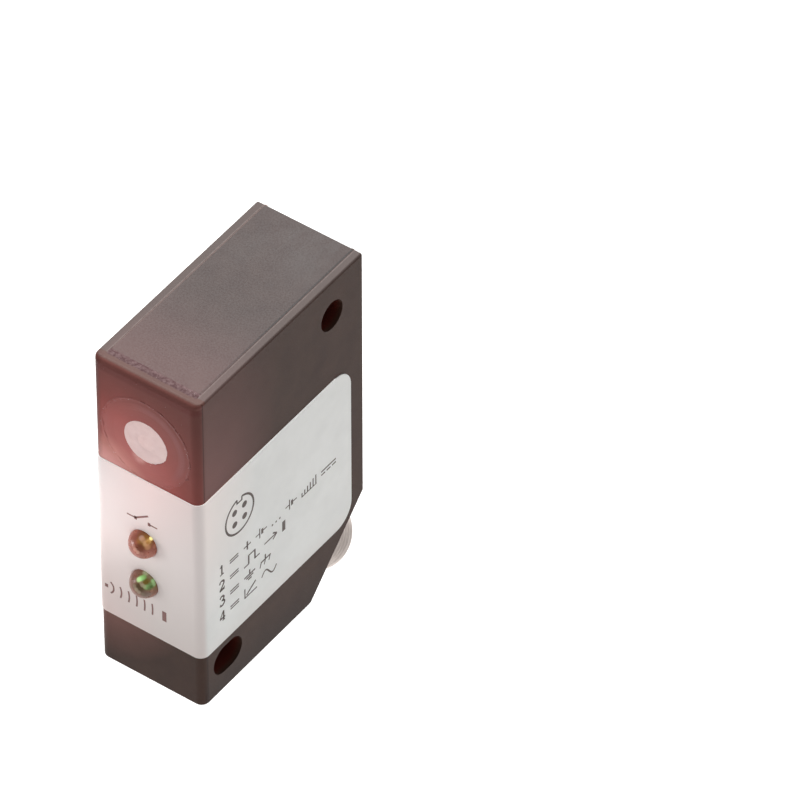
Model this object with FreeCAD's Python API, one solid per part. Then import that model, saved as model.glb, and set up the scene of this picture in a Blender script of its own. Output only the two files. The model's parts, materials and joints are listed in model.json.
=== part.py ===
import FreeCAD, Part
import math
import os
from FreeCAD import Vector

# Ultrasonic sensor in a flat block housing. Millimetres, +Z up, +X across the width,
# sound leaves towards -Y. The origin is the middle of the upper fixing hole.

# Body
body_width = 20.0
body_depth = 42.0
body_height = 65.0
corner_cut_length = 14.0     # 45 degree face at the back of the base, along each side
side_wall = 2.0
front_wall = 2.5
floor_wall = 2.0
corner_wall = 2.0
front_edge_radius = 1.5
top_front_radius = 1.0
top_side_radius = 0.4
base_bend_radius = 1.2
small_edge_radius = 0.3
inner_radius = 0.8

# Fixing hole and slot
hole_radius = 2.75
hole_from_top = 7.0
hole_from_back = 8.0
slot_radius = 2.75
slot_straight_length = 1.8   # distance between the centres of the slot's round ends
slot_from_front = 6.4
slot_from_base = 6.5
boss_wall = 1.6

# Cover
rim_width = 1.5              # side wall beside the cover
front_rim_width = 2.0
cover_thickness = 1.5
cover_inset = 0.03           # how far the cover lies below the rims
cover_gap = 0.1
front_seam_width = 0.3
glue_thickness = 0.1
cover_back_radius = 0.2
skirt_thickness = 0.8
skirt_depth = 0.9
skirt_clearance = 0.15

# Transducer
transducer_from_top = 12.8
cup_flange_radius = 8.2
cup_flange_thickness = 1.2
cup_seat_gap = 0.15
cup_body_radius = 7.5
cup_body_clearance = 0.1
cup_depth = 7.5
cup_bore_radius = 5.4
cup_groove_radius = 6.3
cup_groove_width = 0.5
cup_groove_depth = 0.05
cup_seam_depth = 0.2          # how far the adhesive lies behind the front
sound_port_radius = 3.9
lip_thickness = 0.5
matching_radius = 4.5
matching_thickness = 1.4
matching_recess_depth = 0.1   # how far the matching layer lies behind the front
port_clearance = 0.05
piezo_radius = 4.3
piezo_thickness = 1.6
absorber_thickness = 2.5
sleeve_clearance = 0.05
transducer_lead_radius = 0.35
transducer_lead_spacing = 3.0
transducer_lead_offset = 1.6
transducer_lead_reach = 4.5

# Light-emitting diodes
led_radius = 2.5
led_flange_radius = 2.9
led_flange_thickness = 1.0
led_height = 8.6
led_stand_out_length = 2.5
led_clearance = 0.1
led_offset_x = -0.8
output_led_from_base = 30.2
led_spacing = 8.7
led_boss_wall = 0.9
leg_size = 0.5
leg_pitch = 2.54
leg_length = 5.4
spacer_width = 6.4
spacer_overlap_length = 1.5
spacer_margin = 3.0

# Label
label_thickness = 0.15
label_from_base = 10.7
label_height = 33.3
label_side_length = 38.6     # from the front face
label_corner_radius = 4.0
label_led_clearance = 0.15

# Main circuit board
board_thickness = 1.6
board_clearance = 0.4
board_front_gap = 0.5        # behind the transducer cup
board_rail_thickness = 0.8
board_rail_height = 1.6
board_rail_gap = 0.05
board_rail_length = 4.0
cover_rail_length = 12.0
corner_free_depth = 9.5      # depth kept free behind the 45 degree face

# Plug connector, four pins
plug_offset = 1.0            # its axis lies this far below the middle of the 45 degree face
plug_length = 13.5
plug_thread_radius = 6.0
plug_end_chamfer = 0.6
plug_collar_radius = 7.0
plug_collar_thickness = 1.5
plug_neck_radius = 5.3
plug_neck_length = 0.9
plug_cavity_radius = 4.4
plug_mouth_chamfer = 0.3
shank_radius = 5.2
shank_bore_radius = 3.7
shank_clearance = 0.1
shank_end_length = 0.5       # shank beyond the nut
nut_across_flats = 13.0
nut_thickness = 2.5
nut_clearance = 0.05
seal_radius = 6.1
seal_section_radius = 0.4
key_width = 1.0
key_height = 0.6
carrier_shoulder = 2.6       # height of the shell's inner shoulder above the corner face
carrier_disc_thickness = 2.0
carrier_clearance = 0.08
carrier_body_length = 6.1
pin_radius = 0.5
pin_circle_radius = 2.5
pin_clearance = 0.02
pin_setback_depth = 0.8      # pin tips behind the shell's mouth
pin_tail_length = 1.3
pin_tip_chamfer = 0.25

# Leads from the plug to the board
lead_radius = 0.45
lead_straight_length = 1.0
lead_stand_off_height = 2.2
lead_inner_pad = 1.5
lead_outer_pad = 4.5
lead_pad_depth = 1.6         # pads behind the board's slanted edge

# Parts on the board
transformer_length = 9.0
transformer_height = 7.0
transformer_core_width = 6.0
transformer_core_wall = 1.6
transformer_base = 1.2
transformer_clearance = 0.1
capacitor_radius = 3.1
capacitor_height = 5.8
capacitor_base = 6.6
capacitor_base_thickness = 0.8
capacitor_pinch_depth = 0.25
capacitor_pinch_height = 1.6
capacitor_pinch_width = 0.6
capacitor_top_bevel = 0.15
chip_leg_thickness = 0.2
chip_leg_width = 0.4
chip_stand_off_height = 0.1
controller_size = 7.0
controller_thickness = 1.4
controller_legs = 8          # on each side
amplifier_length = 8.6
amplifier_width = 3.9
amplifier_thickness = 1.5
amplifier_legs = 7           # on each long side
regulator_length = 6.5
regulator_width = 3.5
regulator_thickness = 1.6
regulator_legs = 3
regulator_leg_reach = 1.7
diode_length = 4.3
diode_width = 2.6
diode_thickness = 2.2
diode_leg_reach = 0.5
chip_leg_reach = 1.0
crystal_length = 11.0
crystal_width = 4.6
crystal_height = 3.4
crystal_edge_radius = 0.5
small_chip_length = 2.0
small_chip_width = 1.25
small_chip_height = 0.6
small_chip_pitch = 4.0
small_chip_rows = 3
small_chip_columns = 4
front_column_offset = 9.5    # from the board's front edge
rear_column_offset = 4.95    # from the board's rear edge
top_row_offset = 8.0         # from the board's top edge
low_row_offset = 0.95        # above the echo diode
crystal_gap = 0.5            # behind the diodes' legs
protection_diode_gap = 0.6   # behind the crystal

# Every cutting shape runs past the faces that it cuts
cut_margin = 1.0

# Places worked out from the sizes above
half_width = body_width / 2
back_y = hole_from_back
front_y = back_y - body_depth
top_z = hole_from_top
base_z = top_z - body_height
cut_y = back_y - corner_cut_length
cut_z = base_z + corner_cut_length
inner_half = half_width - side_wall
inner_front = front_y + front_wall
inner_floor = base_z + floor_wall
inner_cut = (back_y - cut_z) - corner_wall * math.sqrt(2)    # y - z on the inside of the corner face
cover_top = top_z - cover_inset
cover_under = cover_top - cover_thickness
cover_back = back_y - cover_inset
cover_inside = cover_back - cover_thickness
boss_radius = hole_radius + boss_wall
slot_y = front_y + slot_from_front
slot_z = base_z + slot_from_base
slot_boss_radius = slot_radius + boss_wall
transducer_z = top_z - transducer_from_top
output_led_z = base_z + output_led_from_base
echo_led_z = output_led_z - led_spacing
led_flange_back = led_height - led_stand_out_length        # behind the front face
board_face = led_offset_x - leg_size / 2
board_rear = board_face - board_thickness
board_front = front_y + cup_depth + board_front_gap
board_back = cover_inside - board_clearance
board_top = cover_under - board_clearance
board_notch = boss_radius + board_clearance
board_foot = slot_y + slot_straight_length / 2 + slot_boss_radius + board_clearance
board_knee = slot_z + slot_boss_radius + board_clearance
board_slant = (back_y - cut_z) - corner_free_depth * math.sqrt(2)  # y - z on the slanted edge
diagonal = math.sqrt(0.5)
plug_root = Vector(0, back_y - corner_cut_length / 2 - plug_offset * diagonal,
                   base_z + corner_cut_length / 2 - plug_offset * diagonal)
plug_place = FreeCAD.Placement(plug_root, FreeCAD.Rotation(Vector(1, 0, 0), -135))
facing_front = FreeCAD.Rotation(Vector(1, 0, 0), 90)
transducer_place = FreeCAD.Placement(Vector(0, front_y, transducer_z), facing_front)
shank_length = corner_wall + nut_thickness + shank_end_length
carrier_front = carrier_shoulder + carrier_disc_thickness
carrier_back = carrier_shoulder - carrier_body_length


def box(x_low, x_high, y_low, y_high, z_low, z_high):
    return Part.makeBox(x_high - x_low, y_high - y_low, z_high - z_low, Vector(x_low, y_low, z_low))


def prism_across(outline, x_low, x_high):
    """A solid with its outline in the YZ plane, drawn out along X."""
    points = [Vector(x_low, y, z) for y, z in outline]
    face = Part.Face(Part.makePolygon(points + points[:1]))
    return face.extrude(Vector(x_high - x_low, 0, 0))


def turned(outline, place):
    """A turned solid: its outline is a list of (radius, height) about the local Z axis."""
    points = [Vector(radius, 0, height) for radius, height in outline]
    face = Part.Face(Part.makePolygon(points + points[:1]))
    solid = face.revolve(Vector(0, 0, 0), Vector(0, 0, 1), 360)
    solid.Placement = place
    return solid


def rod(radius, low, high, place, x=0.0, y=0.0):
    """A round rod along the local Z axis."""
    solid = Part.makeCylinder(radius, high - low, Vector(x, y, low))
    solid.Placement = place.multiply(solid.Placement)
    return solid


def rod_across(radius, x_low, x_high, y, z):
    return Part.makeCylinder(radius, x_high - x_low, Vector(x_low, y, z), Vector(1, 0, 0))


def slot_across(radius, x_low, x_high):
    """A long round-ended bar along X at the place of the slot."""
    front_end = slot_y - slot_straight_length / 2
    back_end = slot_y + slot_straight_length / 2
    bar = box(x_low, x_high, front_end, back_end, slot_z - radius, slot_z + radius)
    for y in (front_end, back_end):
        bar = bar.fuse(rod_across(radius, x_low, x_high, y, slot_z))
    return bar.removeSplitter()


def near(value, target):
    return abs(value - target) < 1e-4


def edges_where(shape, test):
    """The edges whose middle passes a test."""
    return [edge for edge in shape.Edges if test(edge.CenterOfMass)]


def round_edges(shape, choices):
    """Rounds several groups of edges in one go. A choice is a radius and a test on an edge's middle."""
    document = FreeCAD.newDocument("rounding")
    body = document.addObject("Part::Feature", "body")
    body.Shape = shape
    fillet = document.addObject("Part::Fillet", "fillet")
    fillet.Base = body
    listed = []
    for number, edge in enumerate(shape.Edges, 1):
        for radius, test in choices:
            if test(edge.CenterOfMass):
                listed.append((number, radius, radius))
                break
    fillet.Edges = listed
    document.recompute()
    rounded = fillet.Shape.Solids[0].copy()
    FreeCAD.closeDocument(document.Name)
    return rounded


def bent_wire(points, radius):
    """A round lead along straight runs joined by tangent arcs."""
    edges = []
    start = points[0]
    for before, corner, after in zip(points, points[1:], points[2:]):
        into = (corner - before).normalize()
        out = (after - corner).normalize()
        half_turn = into.getAngle(out) / 2
        reach = 0.45 * min(before.distanceToPoint(corner), corner.distanceToPoint(after))
        bend = reach / math.tan(half_turn)
        first = corner - into * reach
        last = corner + out * reach
        towards = (out - into).normalize()
        middle = corner + towards * (bend / math.cos(half_turn) - bend)
        edges.append(Part.LineSegment(start, first).toShape())
        edges.append(Part.Arc(first, middle, last).toShape())
        start = last
    edges.append(Part.LineSegment(start, points[-1]).toShape())
    path = Part.Wire(edges)
    section = Part.Wire(Part.makeCircle(radius, points[0], points[1] - points[0]))
    return path.makePipeShell([section], True, True)


def make_block():
    """The outside of the housing, closed and solid, with its rounded edges."""
    outline = [(front_y, base_z), (cut_y, base_z), (back_y, cut_z), (back_y, top_z), (front_y, top_z)]
    block = prism_across(outline, -half_width, half_width)
    choices = [
        (front_edge_radius, lambda p: near(p.y, front_y) and near(abs(p.x), half_width)),
        (top_front_radius, lambda p: near(p.y, front_y) and near(p.z, top_z)),
        (top_side_radius, lambda p: near(p.z, top_z) and near(abs(p.x), half_width)),
        (base_bend_radius, lambda p: near(p.y, cut_y) and near(p.z, base_z)),
        (small_edge_radius, lambda p: near(abs(p.x), half_width) or near(p.z, base_z)),
        (small_edge_radius, lambda p: near(p.y, back_y)),
    ]
    return round_edges(block, choices)


def make_cavity():
    """The inside of the housing, open at the top and at the back."""
    outline = [
        (inner_front, inner_floor),
        (inner_floor + inner_cut, inner_floor),
        (cut_z + inner_cut, cut_z),
        (back_y + cut_margin, cut_z),
        (back_y + cut_margin, top_z + cut_margin),
        (inner_front, top_z + cut_margin),
    ]
    cavity = prism_across(outline, -inner_half, inner_half)
    corners = edges_where(cavity, lambda p: near(p.y, inner_front) and near(abs(p.x), inner_half))
    return cavity.makeFillet(inner_radius, corners)


def make_cover_pocket(outer_y, outer_z):
    """The room for the cover between the rims, out to a given back face and top face."""
    pocket_half = half_width - rim_width
    top = box(-pocket_half, pocket_half, front_y + front_rim_width, outer_y,
              cover_under - glue_thickness, outer_z)
    back = box(-pocket_half, pocket_half, cover_inside - glue_thickness, outer_y, cut_z, outer_z)
    return top.fuse(back).removeSplitter()


def make_board_rails(z_low, z_high, y_low, y_high):
    """Two ribs that hold an edge of the board between them."""
    left = box(board_rear - board_rail_gap - board_rail_thickness, board_rear - board_rail_gap,
               y_low, y_high, z_low, z_high)
    right = box(board_face + board_rail_gap, board_face + board_rail_gap + board_rail_thickness,
                y_low, y_high, z_low, z_high)
    return [left, right]


def make_housing():
    housing = make_block().cut(make_cavity())
    housing = housing.cut(make_cover_pocket(back_y + cut_margin, top_z + cut_margin))
    bosses = [
        rod_across(boss_radius, -inner_half, inner_half, 0, 0),
        slot_across(slot_boss_radius, -inner_half, inner_half),
        box(-inner_half, inner_half, inner_front, slot_y, inner_floor, slot_z),
        box(-inner_half, inner_half, slot_y - slot_straight_length / 2, slot_y + slot_straight_length / 2,
            inner_floor, slot_z),
    ]
    bosses += make_board_rails(inner_floor, inner_floor + board_rail_height,
                               board_foot, board_foot + board_rail_length)
    for z in (output_led_z, echo_led_z):
        place = FreeCAD.Placement(Vector(led_offset_x, front_y, z), facing_front)
        bosses.append(rod(led_radius + led_clearance + led_boss_wall,
                          -(led_flange_back - led_flange_thickness), -front_wall, place))
    housing = housing.multiFuse(bosses).removeSplitter()
    cuts = [
        rod_across(hole_radius, -half_width - cut_margin, half_width + cut_margin, 0, 0),
        slot_across(slot_radius, -half_width - cut_margin, half_width + cut_margin),
        rod(cup_flange_radius + cup_seat_gap, -cup_flange_thickness, cut_margin, transducer_place),
        rod(cup_body_radius + cup_body_clearance, -front_wall - cut_margin, cut_margin, transducer_place),
        rod(shank_radius + shank_clearance, -corner_wall - cut_margin, cut_margin, plug_place),
    ]
    for z in (output_led_z, echo_led_z):
        place = FreeCAD.Placement(Vector(led_offset_x, front_y, z), facing_front)
        cuts.append(rod(led_radius + led_clearance, -led_height, cut_margin, place))
    return housing.cut(cuts)


def make_cover():
    half = half_width - rim_width - cover_gap
    front = front_y + front_rim_width + front_seam_width
    outline = [
        (front, cover_under),
        (cover_inside, cover_under),
        (cover_inside, cut_z + cover_gap),
        (cover_back, cut_z + cover_gap),
        (cover_back, cover_top),
        (front, cover_top),
    ]
    cover = prism_across(outline, -half, half)
    bend = edges_where(cover, lambda p: near(p.y, cover_back) and near(p.z, cover_top))
    cover = cover.makeFillet(cover_back_radius, bend)
    skirt_edge = inner_half - skirt_clearance
    ribs = make_board_rails(board_top - skirt_depth, cover_under,
                            -board_notch - cover_rail_length, -board_notch)
    for side in (-1, 1):
        x_far = side * skirt_edge
        x_near = side * (skirt_edge - skirt_thickness)
        ribs.append(box(min(x_far, x_near), max(x_far, x_near), inner_front + inner_radius,
                        -board_notch, cover_under - skirt_depth, cover_under))
    return cover.multiFuse(ribs).removeSplitter()


def make_cover_adhesive():
    """The bead that fills the seam round the cover and the ledge under it."""
    room = make_cover_pocket(cover_back, cover_top)
    return room.cut(make_cover()).cut(make_cavity())


def wrapped_block(grow, y_high, z_low, z_high):
    """The housing's front end as a plain block, grown by a film's thickness."""
    half = half_width + grow
    block = box(-half, half, front_y - grow, y_high, z_low, z_high)
    corners = edges_where(block, lambda p: near(p.y, front_y - grow) and near(abs(p.x), half))
    return block.makeFillet(front_edge_radius + grow, corners)


def make_label():
    """A film from the front left edge across the front and along the right side."""
    low = base_z + label_from_base
    high = low + label_height
    end_y = front_y + label_side_length
    film = wrapped_block(label_thickness, back_y, low, high)
    film = film.cut(wrapped_block(0, back_y + cut_margin, low - cut_margin, high + cut_margin))
    film = film.cut(box(-half_width - cut_margin, 0, front_y + front_edge_radius, back_y + cut_margin,
                        low - cut_margin, high + cut_margin))
    outline = box(-half_width - cut_margin, half_width + cut_margin, front_y - cut_margin, end_y, low, high)
    corners = edges_where(outline, lambda p: near(p.y, end_y) and (near(p.z, low) or near(p.z, high)))
    film = film.common(outline.makeFillet(label_corner_radius, corners))
    for z in (output_led_z, echo_led_z):
        place = FreeCAD.Placement(Vector(led_offset_x, front_y, z), facing_front)
        film = film.cut(rod(led_radius + label_led_clearance, -cut_margin, cut_margin, place))
    return film


def make_transducer():
    """The pieces of the transducer, from the front to the back."""
    matching_back = -lip_thickness - matching_thickness
    piezo_back = matching_back - piezo_thickness
    absorber_back = piezo_back - absorber_thickness
    sleeve_outer = cup_bore_radius - sleeve_clearance
    sleeve_inner = matching_radius + sleeve_clearance
    groove_outer = cup_groove_radius + cup_groove_width
    seat_radius = cup_flange_radius + cup_seat_gap
    cup = turned([
        (sound_port_radius, 0), (cup_groove_radius, 0), (cup_groove_radius, -cup_groove_depth),
        (groove_outer, -cup_groove_depth), (groove_outer, 0), (cup_flange_radius, 0),
        (cup_flange_radius, -cup_flange_thickness), (cup_body_radius, -cup_flange_thickness),
        (cup_body_radius, -cup_depth), (cup_bore_radius, -cup_depth),
        (cup_bore_radius, -lip_thickness), (sound_port_radius, -lip_thickness),
    ], transducer_place)
    adhesive = turned([
        (cup_flange_radius, -cup_seam_depth), (seat_radius, -cup_seam_depth),
        (seat_radius, -cup_flange_thickness), (cup_flange_radius, -cup_flange_thickness),
    ], transducer_place)
    sleeve = turned([
        (sleeve_inner, -lip_thickness), (sleeve_outer, -lip_thickness),
        (sleeve_outer, absorber_back), (sleeve_inner, absorber_back),
    ], transducer_place)
    matching_layer = rod(matching_radius, matching_back, -lip_thickness, transducer_place)
    matching_layer = matching_layer.fuse(rod(sound_port_radius - port_clearance, -lip_thickness,
                                             -matching_recess_depth, transducer_place))
    return {
        "transducer_cup": cup,
        "transducer_adhesive": adhesive,
        "matching_layer": matching_layer,
        "piezo_disc": rod(piezo_radius, piezo_back, matching_back, transducer_place),
        "backing_absorber": rod(piezo_radius, absorber_back, piezo_back, transducer_place),
        "decoupling_sleeve": sleeve,
        "transducer_potting": rod(sleeve_outer, -cup_depth, absorber_back, transducer_place),
    }


def make_transducer_leads():
    """Two leads from the back of the cup, bent on to the face of the board."""
    start_y = front_y + cup_depth
    leads = []
    for side in (-1, 1):
        z = transducer_z + side * transducer_lead_spacing / 2
        leads.append(bent_wire([
            Vector(transducer_lead_offset, start_y, z),
            Vector(transducer_lead_offset, start_y + transducer_lead_reach, z),
            Vector(board_face, start_y + transducer_lead_reach, z),
        ], transducer_lead_radius))
    return Part.makeCompound(leads)


def make_led(z):
    """The resin body of a round diode: dome, barrel and flange."""
    dome_base = led_stand_out_length - led_radius
    flange_back = led_stand_out_length - led_height
    flange_front = flange_back + led_flange_thickness
    tip = Vector(0, 0, led_stand_out_length)
    shoulder = Vector(led_radius * diagonal, 0, dome_base + led_radius * diagonal)
    rim = Vector(led_radius, 0, dome_base)
    dome = Part.Arc(tip, shoulder, rim).toShape()
    sides = Part.makePolygon([
        rim, Vector(led_radius, 0, flange_front), Vector(led_flange_radius, 0, flange_front),
        Vector(led_flange_radius, 0, flange_back), Vector(0, 0, flange_back), tip,
    ])
    face = Part.Face(Part.Wire([dome] + sides.Edges))
    lens = face.revolve(Vector(0, 0, 0), Vector(0, 0, 1), 360)
    lens.Placement = FreeCAD.Placement(Vector(led_offset_x, front_y, z), facing_front)
    return lens


def make_legs(z, margin=0.0):
    """The two legs of a diode, which lie along the face of the board."""
    start = front_y + led_flange_back
    legs = []
    for side in (-1, 1):
        middle = z + side * leg_pitch / 2
        reach = leg_size / 2 + margin
        legs.append(box(led_offset_x - reach, led_offset_x + reach, start, start + leg_length,
                        middle - reach, middle + reach))
    return Part.makeCompound(legs)


def make_led_spacer():
    """A block behind both flanges, pushed on to the front edge of the board."""
    start = front_y + led_flange_back
    spacer = box(led_offset_x - spacer_width / 2, led_offset_x + spacer_width / 2,
                 start, board_front + spacer_overlap_length,
                 echo_led_z - spacer_margin, output_led_z + spacer_margin)
    groove = box(board_rear - board_rail_gap, board_face + leg_size + board_rail_gap,
                 board_front, board_front + spacer_overlap_length + cut_margin,
                 echo_led_z - spacer_margin - cut_margin, output_led_z + spacer_margin + cut_margin)
    spacer = spacer.cut(groove)
    for z in (output_led_z, echo_led_z):
        spacer = spacer.cut(make_legs(z, board_rail_gap))
    return spacer


def make_board():
    outline = [
        (board_foot, inner_floor),
        (inner_floor + board_slant, inner_floor),
        (board_back, board_back - board_slant),
        (board_back, -board_notch),
        (-board_notch, -board_notch),
        (-board_notch, board_top),
        (board_front, board_top),
        (board_front, board_knee),
        (board_foot, board_knee),
    ]
    return prism_across(outline, board_rear, board_face)


def make_transformer(y, z):
    """Ferrite frame round a wound middle leg, on a small plastic base with pins to the board."""
    half = transformer_length / 2
    core_half = transformer_core_width / 2
    low = board_face + transformer_base
    high = board_face + transformer_height
    wall = transformer_core_wall
    middle_x = (low + high) / 2
    core = box(low, high, y - core_half, y + core_half, z - half, z + half)
    window = box(low + wall, high - wall, y - core_half - cut_margin, y + core_half + cut_margin,
                 z - half + wall, z + half - wall)
    leg_radius = (high - low - 2 * wall) / 4
    leg = Part.makeCylinder(leg_radius, transformer_length, Vector(middle_x, y, z - half))
    core = core.cut(window).fuse(leg).removeSplitter()
    coil_half = half - wall - transformer_clearance
    coil_outer = (high - low) / 2 - wall - transformer_clearance
    coil = Part.makeCylinder(coil_outer, 2 * coil_half, Vector(middle_x, y, z - coil_half))
    coil = coil.cut(Part.makeCylinder(leg_radius + transformer_clearance / 2, transformer_length,
                                      Vector(middle_x, y, z - half)))
    base = box(board_face + chip_stand_off_height, low, y - core_half, y + core_half, z - half, z + half)
    for side_y in (-1, 1):
        for step in (-1, 0, 1):
            pin = rod_across(leg_size / 2, board_face, low, y + side_y * (core_half - leg_size),
                             z + step * leg_pitch)
            base = base.fuse(pin)
    return {
        "transformer_core": core,
        "transformer_winding": coil,
        "transformer_base": base.removeSplitter(),
    }


def make_capacitor(y, z):
    """A can capacitor with its square foot and the pinched ring near its foot."""
    half = capacitor_base / 2
    foot = box(board_face, board_face + capacitor_base_thickness, y - half, y + half, z - half, z + half)
    place = FreeCAD.Placement(Vector(board_face, y, z), FreeCAD.Rotation(Vector(0, 1, 0), 90))
    can = turned([
        (0, capacitor_base_thickness / 2), (capacitor_radius, capacitor_base_thickness / 2),
        (capacitor_radius, capacitor_pinch_height - capacitor_pinch_width / 2),
        (capacitor_radius - capacitor_pinch_depth, capacitor_pinch_height),
        (capacitor_radius, capacitor_pinch_height + capacitor_pinch_width / 2),
        (capacitor_radius, capacitor_height - capacitor_top_bevel),
        (capacitor_radius - capacitor_top_bevel, capacitor_height), (0, capacitor_height),
    ], place)
    return foot.fuse(can).removeSplitter()


def make_chip(y, z, length_y, length_z, thickness, legs_y=0, legs_z=0, reach=chip_leg_reach):
    """A chip body with legs: legs_y on the sides that face along Y, legs_z on those along Z."""
    low = board_face + chip_stand_off_height
    chip = box(low, low + thickness, y - length_y / 2, y + length_y / 2,
               z - length_z / 2, z + length_z / 2)
    middle = low + thickness / 2
    half = chip_leg_width / 2

    def legs(count, room):
        step = room / count
        return [(number - (count - 1) / 2) * step for number in range(count)]

    bars = []
    for offset in (legs(legs_y, length_z) if legs_y else []):
        for side in (-1, 1):
            profile = leg_profile(side, y + side * length_y / 2, middle, reach)
            bars.append(prism_up(profile, z + offset - half, z + offset + half))
    for offset in (legs(legs_z, length_y) if legs_z else []):
        for side in (-1, 1):
            profile = leg_profile(side, z + side * length_z / 2, middle, reach)
            bars.append(prism_along(profile, y + offset - half, y + offset + half))
    return chip.multiFuse(bars) if bars else chip


def leg_profile(side, edge, middle, reach):
    """The bent shape of a chip's leg, as (height above the board, distance) points."""
    thick = chip_leg_thickness
    knee = edge + side * reach * 0.45
    toe = edge + side * reach
    return [
        (middle, edge), (middle, knee + side * thick), (board_face + thick, knee + side * thick),
        (board_face + thick, toe), (board_face, toe), (board_face, knee),
        (middle - thick, knee), (middle - thick, edge),
    ]


def prism_up(profile, z_low, z_high):
    points = [Vector(x, y, z_low) for x, y in profile]
    return Part.Face(Part.makePolygon(points + points[:1])).extrude(Vector(0, 0, z_high - z_low))


def prism_along(profile, y_low, y_high):
    points = [Vector(x, y_low, z) for x, z in profile]
    return Part.Face(Part.makePolygon(points + points[:1])).extrude(Vector(0, y_high - y_low, 0))


def make_crystal(y, z):
    """A flat metal can with round ends, lying on its side along Y."""
    radius = crystal_width / 2
    reach = crystal_length / 2 - radius
    can = box(board_face, board_face + crystal_height, y - reach, y + reach, z - radius, z + radius)
    for side in (-1, 1):
        can = can.fuse(rod_across(radius, board_face, board_face + crystal_height, y + side * reach, z))
    can = can.removeSplitter()
    top = edges_where(can, lambda p: near(p.x, board_face + crystal_height))
    return can.makeFillet(crystal_edge_radius, top)


def make_small_chips(y, z):
    """Resistors and ceramic capacitors in rows on the back of the board."""
    half_length = small_chip_length / 2
    half_width_z = small_chip_width / 2
    chips = []
    for row in range(small_chip_rows):
        for column in range(small_chip_columns):
            chip_y = y + column * small_chip_pitch
            chip_z = z - row * small_chip_pitch
            chips.append(box(board_rear - small_chip_height, board_rear, chip_y - half_length,
                             chip_y + half_length, chip_z - half_width_z, chip_z + half_width_z))
    return Part.makeCompound(chips)


def make_board_parts():
    """Everything soldered to the board, in three columns and four evenly spaced rows."""
    column_1 = board_front + front_column_offset
    column_3 = board_back - rear_column_offset
    column_2 = (column_1 + column_3) / 2
    row_1 = board_top - top_row_offset
    row_4 = echo_led_z + low_row_offset
    row_step = (row_1 - row_4) / 3
    row_2 = row_1 - row_step
    row_3 = row_2 - row_step
    legs_end = front_y + led_flange_back + leg_length
    crystal_y = legs_end + crystal_gap + crystal_length / 2
    diode_y = crystal_y + crystal_length / 2 + protection_diode_gap + diode_leg_reach + diode_length / 2
    parts = make_transformer(column_1, row_1)
    parts["storage_capacitor_1"] = make_capacitor(column_1, row_2)
    parts["storage_capacitor_2"] = make_capacitor(column_2, row_2)
    parts["voltage_regulator"] = make_chip(column_3, row_2, regulator_length, regulator_width,
                                           regulator_thickness, legs_z=regulator_legs,
                                           reach=regulator_leg_reach)
    parts["microcontroller"] = make_chip(column_1, row_3, controller_size, controller_size,
                                         controller_thickness, legs_y=controller_legs,
                                         legs_z=controller_legs)
    parts["receive_amplifier"] = make_chip(column_3, row_3, amplifier_length, amplifier_width,
                                           amplifier_thickness, legs_z=amplifier_legs)
    parts["crystal"] = make_crystal(crystal_y, row_4)
    parts["protection_diode"] = make_chip(diode_y, row_4, diode_length, diode_width,
                                          diode_thickness, legs_y=1, reach=diode_leg_reach)
    parts["small_chips"] = make_small_chips(column_1, row_2)
    return parts


def make_plug_shell():
    end = plug_length
    outline = [
        (shank_bore_radius, -shank_length), (shank_radius, -shank_length), (shank_radius, 0),
        (seal_radius - seal_section_radius, 0),
        (seal_radius - seal_section_radius, 2 * seal_section_radius),
        (seal_radius + seal_section_radius, 2 * seal_section_radius),
        (seal_radius + seal_section_radius, 0), (plug_collar_radius, 0),
        (plug_collar_radius, plug_collar_thickness), (plug_neck_radius, plug_collar_thickness),
        (plug_neck_radius, plug_collar_thickness + plug_neck_length),
        (plug_thread_radius, plug_collar_thickness + plug_neck_length),
        (plug_thread_radius, end - plug_end_chamfer),
        (plug_thread_radius - plug_end_chamfer, end), (plug_cavity_radius + plug_mouth_chamfer, end),
        (plug_cavity_radius, end - plug_mouth_chamfer), (plug_cavity_radius, carrier_shoulder),
        (shank_bore_radius, carrier_shoulder),
    ]
    shell = turned(outline, plug_place)
    key = Part.makeBox(key_width, key_height + pin_radius, end - pin_setback_depth - carrier_front,
                       Vector(-key_width / 2, plug_cavity_radius - key_height, carrier_front))
    key.Placement = plug_place.multiply(key.Placement)
    return shell.fuse(key).removeSplitter()


def pin_places():
    """Places of the four pins in the plug's own plane."""
    places = []
    for number in range(4):
        angle = math.radians(45 + 90 * number)
        places.append((pin_circle_radius * math.cos(angle), pin_circle_radius * math.sin(angle)))
    return places


def make_contact_carrier():
    disc_radius = plug_cavity_radius - carrier_clearance
    body_radius = shank_bore_radius - carrier_clearance
    carrier = turned([
        (0, carrier_back), (body_radius, carrier_back), (body_radius, carrier_shoulder),
        (disc_radius, carrier_shoulder), (disc_radius, carrier_front), (0, carrier_front),
    ], plug_place)
    for x, y in pin_places():
        carrier = carrier.cut(rod(pin_radius + pin_clearance, carrier_back - cut_margin,
                                  carrier_front + cut_margin, plug_place, x, y))
    return carrier


def make_plug_potting():
    potting = rod(shank_bore_radius - carrier_clearance, -shank_length, carrier_back, plug_place)
    for x, y in pin_places():
        potting = potting.cut(rod(pin_radius + pin_clearance, -shank_length - cut_margin,
                                  carrier_back + cut_margin, plug_place, x, y))
    return potting


def make_pin(x, y):
    tip = plug_length - pin_setback_depth
    tail = -shank_length - pin_tail_length
    pin = turned([
        (0, tail), (pin_radius, tail), (pin_radius, tip - pin_tip_chamfer),
        (pin_radius - pin_tip_chamfer, tip), (0, tip),
    ], FreeCAD.Placement())
    pin.Placement = plug_place.multiply(FreeCAD.Placement(Vector(x, y, 0), FreeCAD.Rotation()))
    return pin


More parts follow.
